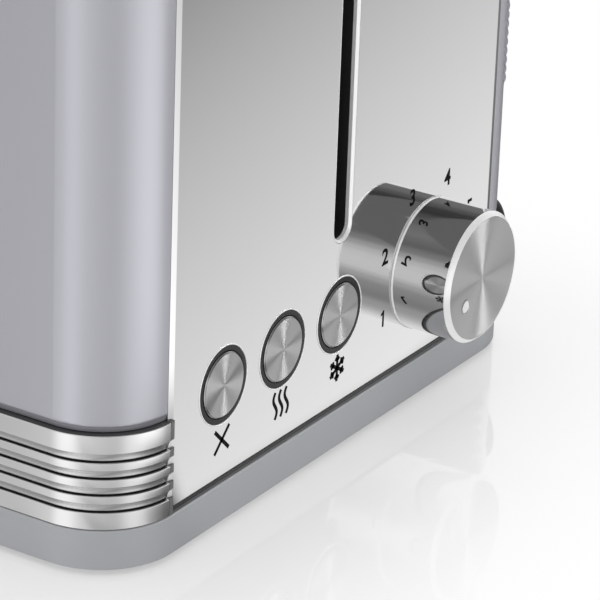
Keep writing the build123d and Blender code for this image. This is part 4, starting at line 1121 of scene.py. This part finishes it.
# Darkening right at the panel's foot, and the distances in metres over which it fades
FOOT_SHADE = 0.45
FOOT_BLEND = (0.002, 0.018)
# Brightness of the floor mirrored twice, by the distance to the right in metres
TWICE_STOPS = [(-0.3, 0.79), (-0.16, 0.77), (-0.1, 0.65), (-0.06, 0.5), (-0.02, 0.34),
               (0.005, 0.29), (0.02, 0.45), (0.05, 0.95), (0.3, 1.0)]
# Brightness of the room in front by its turn about the foot of the card, in degrees
ROOM_STOPS = [(0, 0.2), (20, 0.2), (36, 0.12), (46, 0.06), (58, 0.05), (68, 0.10), (82, 0.16),
              (98, 0.22), (108, 0.24), (118, 0.20), (128, 0.17), (140, 0.27), (150, 0.46),
              (158, 0.64), (168, 0.76), (180, 0.8)]
ROOM_LOW, ROOM_HIGH = (-3.5, 0.0), (4.5, 7.0)
ROOM_CENTRE = (-0.1, 0.0, 0.0)
ROOM_Y = -1.5
# Brightness of the lowest part of that room, by its distance to the right in metres
ROOM_FOOT_STOPS = [(-3.5, 0.75), (-1.5, 0.75), (-1.1, 1.5), (0.7, 1.5), (1.1, 2.5),
                   (1.35, 7.5), (1.95, 7.5), (2.15, 0.1), (4.5, 0.1)]
ROOM_FOOT_BLEND = (0.4, 0.7)
# Brightness of the ceiling by its distance to the right in metres, and mirrored twice
CEILING_STOPS = [(-4.0, 0.9), (-1.6, 0.8), (-0.6, 0.5), (0.4, 0.42), (1.2, 0.6), (2.2, 0.85),
                 (4.0, 0.9)]
CEILING_TWICE = 0.165
CEILING_HALF = 4.0
CEILING_HEIGHT = 2.2


def make_camera(lens):
    """A camera where the photograph was taken from."""
    turn = (Matrix.Rotation(-CAMERA_YAW, 4, "Z")
            @ Matrix.Rotation(pi / 2 - CAMERA_PITCH, 4, "X")
            @ Matrix.Rotation(CAMERA_ROLL, 4, "Z"))
    data = bpy.data.cameras.new("camera")
    data.sensor_width = 36.0
    data.lens = lens
    data.clip_start, data.clip_end = 0.01, 50.0
    camera = link_object("camera", data)
    camera.matrix_world = Matrix.Translation(CAMERA_PLACE) @ turn
    bpy.context.scene.camera = camera


def make_world(ambient):
    """Plain even light, seen as white."""
    world = bpy.data.worlds.new("studio")
    world.use_nodes = True
    tree = world.node_tree
    path = node(tree, "ShaderNodeLightPath").outputs
    seen = calc(tree, "MAXIMUM", path["Is Camera Ray"], path["Is Glossy Ray"])
    seen = calc(tree, "MAXIMUM", seen, path["Is Transmission Ray"])
    background = tree.nodes["Background"]
    background.inputs["Color"].default_value = (1.0, 1.0, 1.0, 1.0)
    tree.links.new(remap(tree, seen, ambient, 1.0), background.inputs["Strength"])
    bpy.context.scene.world = world


def flat_mesh(name, low, high):
    """A flat rectangle on the floor, facing up."""
    (x0, y0), (x1, y1) = low, high
    mesh = bpy.data.meshes.new(name)
    mesh.from_pydata([(x0, y0, 0), (x1, y0, 0), (x1, y1, 0), (x0, y1, 0)], [], [(0, 1, 2, 3)])
    return mesh


def mixed_surface(tree, share, first, second):
    """Ends a material in a mix of two shaders."""
    mix = node(tree, "ShaderNodeMixShader", [share, first.outputs[0], second.outputs[0]])
    tree.links.new(mix.outputs[0], tree.nodes["Material Output"].inputs["Surface"])


def make_floor(studio):
    """A glossy pale floor, plain white to the camera further out."""
    paper = bpy.data.materials.new("floor_paper")
    paper.use_nodes = True
    tree = paper.node_tree
    shader = tree.nodes["Principled BSDF"]
    for label, value in (("Base Color", (*studio.floor, 1.0)), ("Roughness", 0.04),
                         ("Coat Weight", 1.0), ("Coat Roughness", 0.02), ("Coat IOR", 1.7)):
        shader.inputs[label].default_value = value
    beyond = vector_calc(tree, "ABSOLUTE", node(tree, "ShaderNodeTexCoord").outputs["Object"])
    beyond = vector_calc(tree, "SUBTRACT", beyond, (CAD_HIGH.x, -PANEL_Y, 1.0))
    distance = vector_calc(tree, "LENGTH", vector_calc(tree, "MAXIMUM", beyond))
    fade = remap(tree, distance, FLOOR_WHITE_SHARE, 1.0, 0.0, studio.clear_floor, "SMOOTHSTEP")
    camera = node(tree, "ShaderNodeLightPath").outputs["Is Camera Ray"]
    mixed_surface(tree, product(tree, fade, camera), shader, node(tree, "ShaderNodeEmission"))
    mesh = flat_mesh("floor", [-FLOOR_HALF] * 2, [FLOOR_HALF] * 2)
    mesh.materials.append(paper)
    link_object("floor", mesh)


def ramp(tree, value, stops):
    """A grey that changes with a value by the given stops of (value, grey)."""
    low, high = stops[0][0], stops[-1][0]
    made = node(tree, "ShaderNodeValToRGB", [remap(tree, value, 0.0, 1.0, low, high)])
    made.color_ramp.interpolation = "EASE"
    marks = made.color_ramp.elements
    while len(marks) < len(stops):
        marks.new(0.5)
    for mark, (at, level) in zip(marks, stops):
        mark.position = (at - low) / (high - low)
        mark.color = (*grey(level), 1.0)
    return made.outputs["Color"]


def turn_about(tree, vector, centre, rise, run):
    """Angle in degrees, 0 to 360, of a point about a centre, from two of its coordinates."""
    moved = vector_calc(tree, "SUBTRACT", vector, centre)
    parts = node(tree, "ShaderNodeSeparateXYZ", [moved]).outputs
    degrees = calc(tree, "DEGREES", calc(tree, "ARCTAN2", parts[rise], parts[run]))
    below = calc(tree, "LESS_THAN", degrees, 0.0)
    return calc(tree, "ADD", degrees, product(tree, below, 360.0))


def blend(tree, share, first, second):
    """The first value where the share is 0, the second where it is 1."""
    rest = calc(tree, "SUBTRACT", 1.0, share)
    return calc(tree, "ADD", product(tree, first, rest), product(tree, share, second))


def once_or_twice(tree, once, twice):
    """The first value where a card is mirrored once, the second where it is mirrored twice."""
    depth = node(tree, "ShaderNodeLightPath").outputs["Glossy Depth"]
    return blend(tree, calc(tree, "GREATER_THAN", depth, TWICE_DEPTH), once, twice)


def glow_card(mesh, brightness):
    """A card that only polished metal sees: plain emission in front, clear from behind."""
    card = bpy.data.materials.new(mesh.name)
    card.use_nodes = True
    tree = card.node_tree
    tree.nodes.remove(tree.nodes["Principled BSDF"])
    place = node(tree, "ShaderNodeTexCoord").outputs["Object"]
    parts = node(tree, "ShaderNodeSeparateXYZ", [place]).outputs
    glow = node(tree, "ShaderNodeEmission", {"Strength": brightness(tree, place, parts)})
    behind = node(tree, "ShaderNodeNewGeometry").outputs["Backfacing"]
    mixed_surface(tree, behind, glow, node(tree, "ShaderNodeBsdfTransparent"))
    mesh.materials.append(card)
    made = link_object(mesh.name, mesh)
    for ray in ("camera", "diffuse", "transmission", "shadow"):
        setattr(made, f"visible_{ray}", False)
    return made


def floor_brightness(tree, place, parts):
    """Bright at the toaster and greyer ahead of it."""
    studio = bpy.context.scene.toaster_studio
    ahead = calc(tree, "MAXIMUM", calc(tree, "SUBTRACT", PANEL_Y, parts["Y"]),
                 calc(tree, "SUBTRACT", parts["Y"], REAR_Y))
    ahead = calc(tree, "MAXIMUM", ahead, 0.0)
    turn = turn_about(tree, place, CORNER, "Y", "X")
    slope = calc(tree, "ADD", product(tree, ahead, -studio.fall_off),
                 product(tree, parts["X"], studio.rise))
    level = calc(tree, "ADD", product(tree, slope, ramp(tree, turn, SLOPED_STOPS)), 1.0)
    level = calc(tree, "MINIMUM", calc(tree, "MAXIMUM", level, LEVEL_LIMITS[0]),
                 LEVEL_LIMITS[1])
    shade = product(tree, remap(tree, ahead, FOOT_SHADE, 0.0, *FOOT_BLEND),
                    calc(tree, "GREATER_THAN", ahead, 0.0))
    far = remap(tree, vector_calc(tree, "DISTANCE", place, CORNER), 0.0, 1.0, *NEAR_BLEND,
                "SMOOTHSTEP")
    around = blend(tree, far, ramp(tree, turn, NEAR_STOPS), ramp(tree, turn, FLOOR_STOPS))
    once = product(tree, level, around, calc(tree, "SUBTRACT", 1.0, shade))
    return once_or_twice(tree, once, ramp(tree, parts["X"], TWICE_STOPS))


def room_brightness(tree, place, parts):
    """Grey with darker bands, and a brighter foot."""
    band = ramp(tree, turn_about(tree, place, ROOM_CENTRE, "Z", "X"), ROOM_STOPS)
    low = remap(tree, parts["Z"], 1.0, 0.0, *ROOM_FOOT_BLEND, "SMOOTHSTEP")
    foot = product(tree, low, ramp(tree, parts["X"], ROOM_FOOT_STOPS))
    return calc(tree, "MAXIMUM", band, foot)


def ceiling_brightness(tree, place, parts):
    """Greyer over the toaster."""
    return once_or_twice(tree, ramp(tree, parts["X"], CEILING_STOPS), CEILING_TWICE)


def make_cards():
    """The floor, the room ahead and the ceiling as polished metal mirrors them."""
    mesh = flat_mesh("mirrored_floor", [-FLOOR_HALF] * 2, [FLOOR_HALF] * 2)
    glow_card(mesh, floor_brightness).location.z = 0.2 * MM
    mesh = flat_mesh("mirrored_room", ROOM_LOW, ROOM_HIGH)
    mesh.transform(Matrix.Rotation(radians(90), 4, "X"))
    mesh.flip_normals()
    glow_card(mesh, room_brightness).location.y = ROOM_Y
    mesh = flat_mesh("mirrored_ceiling", [-CEILING_HALF] * 2, [CEILING_HALF] * 2)
    ceiling = glow_card(mesh, ceiling_brightness)
    ceiling.location.z = CEILING_HEIGHT
    ceiling.rotation_euler.x = pi


def make_softbox(power):
    """A square area lamp above that faces the toaster."""
    data = bpy.data.lights.new("top_softbox", "AREA")
    data.shape = "RECTANGLE"
    data.size = data.size_y = LAMP_SIZE
    data.energy = power
    lamp = link_object("top_softbox", data)
    lamp.location = LAMP_PLACE
    lamp.rotation_mode = "QUATERNION"
    lamp.rotation_quaternion = (LAMP_TARGET - LAMP_PLACE).to_track_quat("-Z", "Y")


class TOASTER_OT_stage(bpy.types.Operator):
    """Set up the camera, the floor, what the metal mirrors and the soft light."""
    bl_idname = "toaster.stage"
    bl_label = "Stage"

    def execute(self, context):
        studio = context.scene.toaster_studio
        make_camera(studio.lens)
        make_world(studio.ambient)
        make_floor(studio)
        make_cards()
        make_softbox(studio.top_power)
        context.scene.view_settings.view_transform = "Standard"
        return {"FINISHED"}


class TOASTER_PT_panel(bpy.types.Panel):
    """Sidebar list of the toaster's settings and builders."""
    bl_idname = "TOASTER_PT_panel"
    bl_label = "Toaster"
    bl_space_type = "VIEW_3D"
    bl_region_type = "UI"
    bl_category = "Toaster"

    def draw(self, context):
        for group, cls in SETTINGS.items():
            for label in cls.__annotations__:
                self.layout.prop(getattr(context.scene, group), label)
        for operator in OPERATORS:
            self.layout.operator(operator.bl_idname)


SETTINGS = {"toaster_finish": ToasterFinish, "toaster_marks": ToasterMarks,
            "toaster_bands": ToasterBands, "toaster_controls": ToasterControls,
            "toaster_inside": ToasterInside, "toaster_studio": ToasterStudio}
OPERATORS = (TOASTER_OT_stage, TOASTER_OT_finishes, TOASTER_OT_bands, TOASTER_OT_knob,
             TOASTER_OT_buttons, TOASTER_OT_slot, TOASTER_OT_seals, TOASTER_OT_marks,
             TOASTER_OT_inside)
CLASSES = (*SETTINGS.values(), *OPERATORS, TOASTER_PT_panel)


def register():
    for cls in CLASSES:
        bpy.utils.register_class(cls)
    for name, cls in SETTINGS.items():
        setattr(bpy.types.Scene, name, bpy.props.PointerProperty(type=cls))


def unregister():
    for name in SETTINGS:
        delattr(bpy.types.Scene, name)
    for cls in reversed(CLASSES):
        bpy.utils.unregister_class(cls)


def main():
    """Builds everything in order."""
    register()
    bpy.ops.toaster.stage()
    bpy.ops.toaster.finishes()
    bpy.ops.toaster.bands()
    bpy.ops.toaster.knob()
    bpy.ops.toaster.buttons()
    bpy.ops.toaster.slot()
    bpy.ops.toaster.seals()
    bpy.ops.toaster.marks()
    bpy.ops.toaster.inside()


if __name__ == "__main__":
    main()
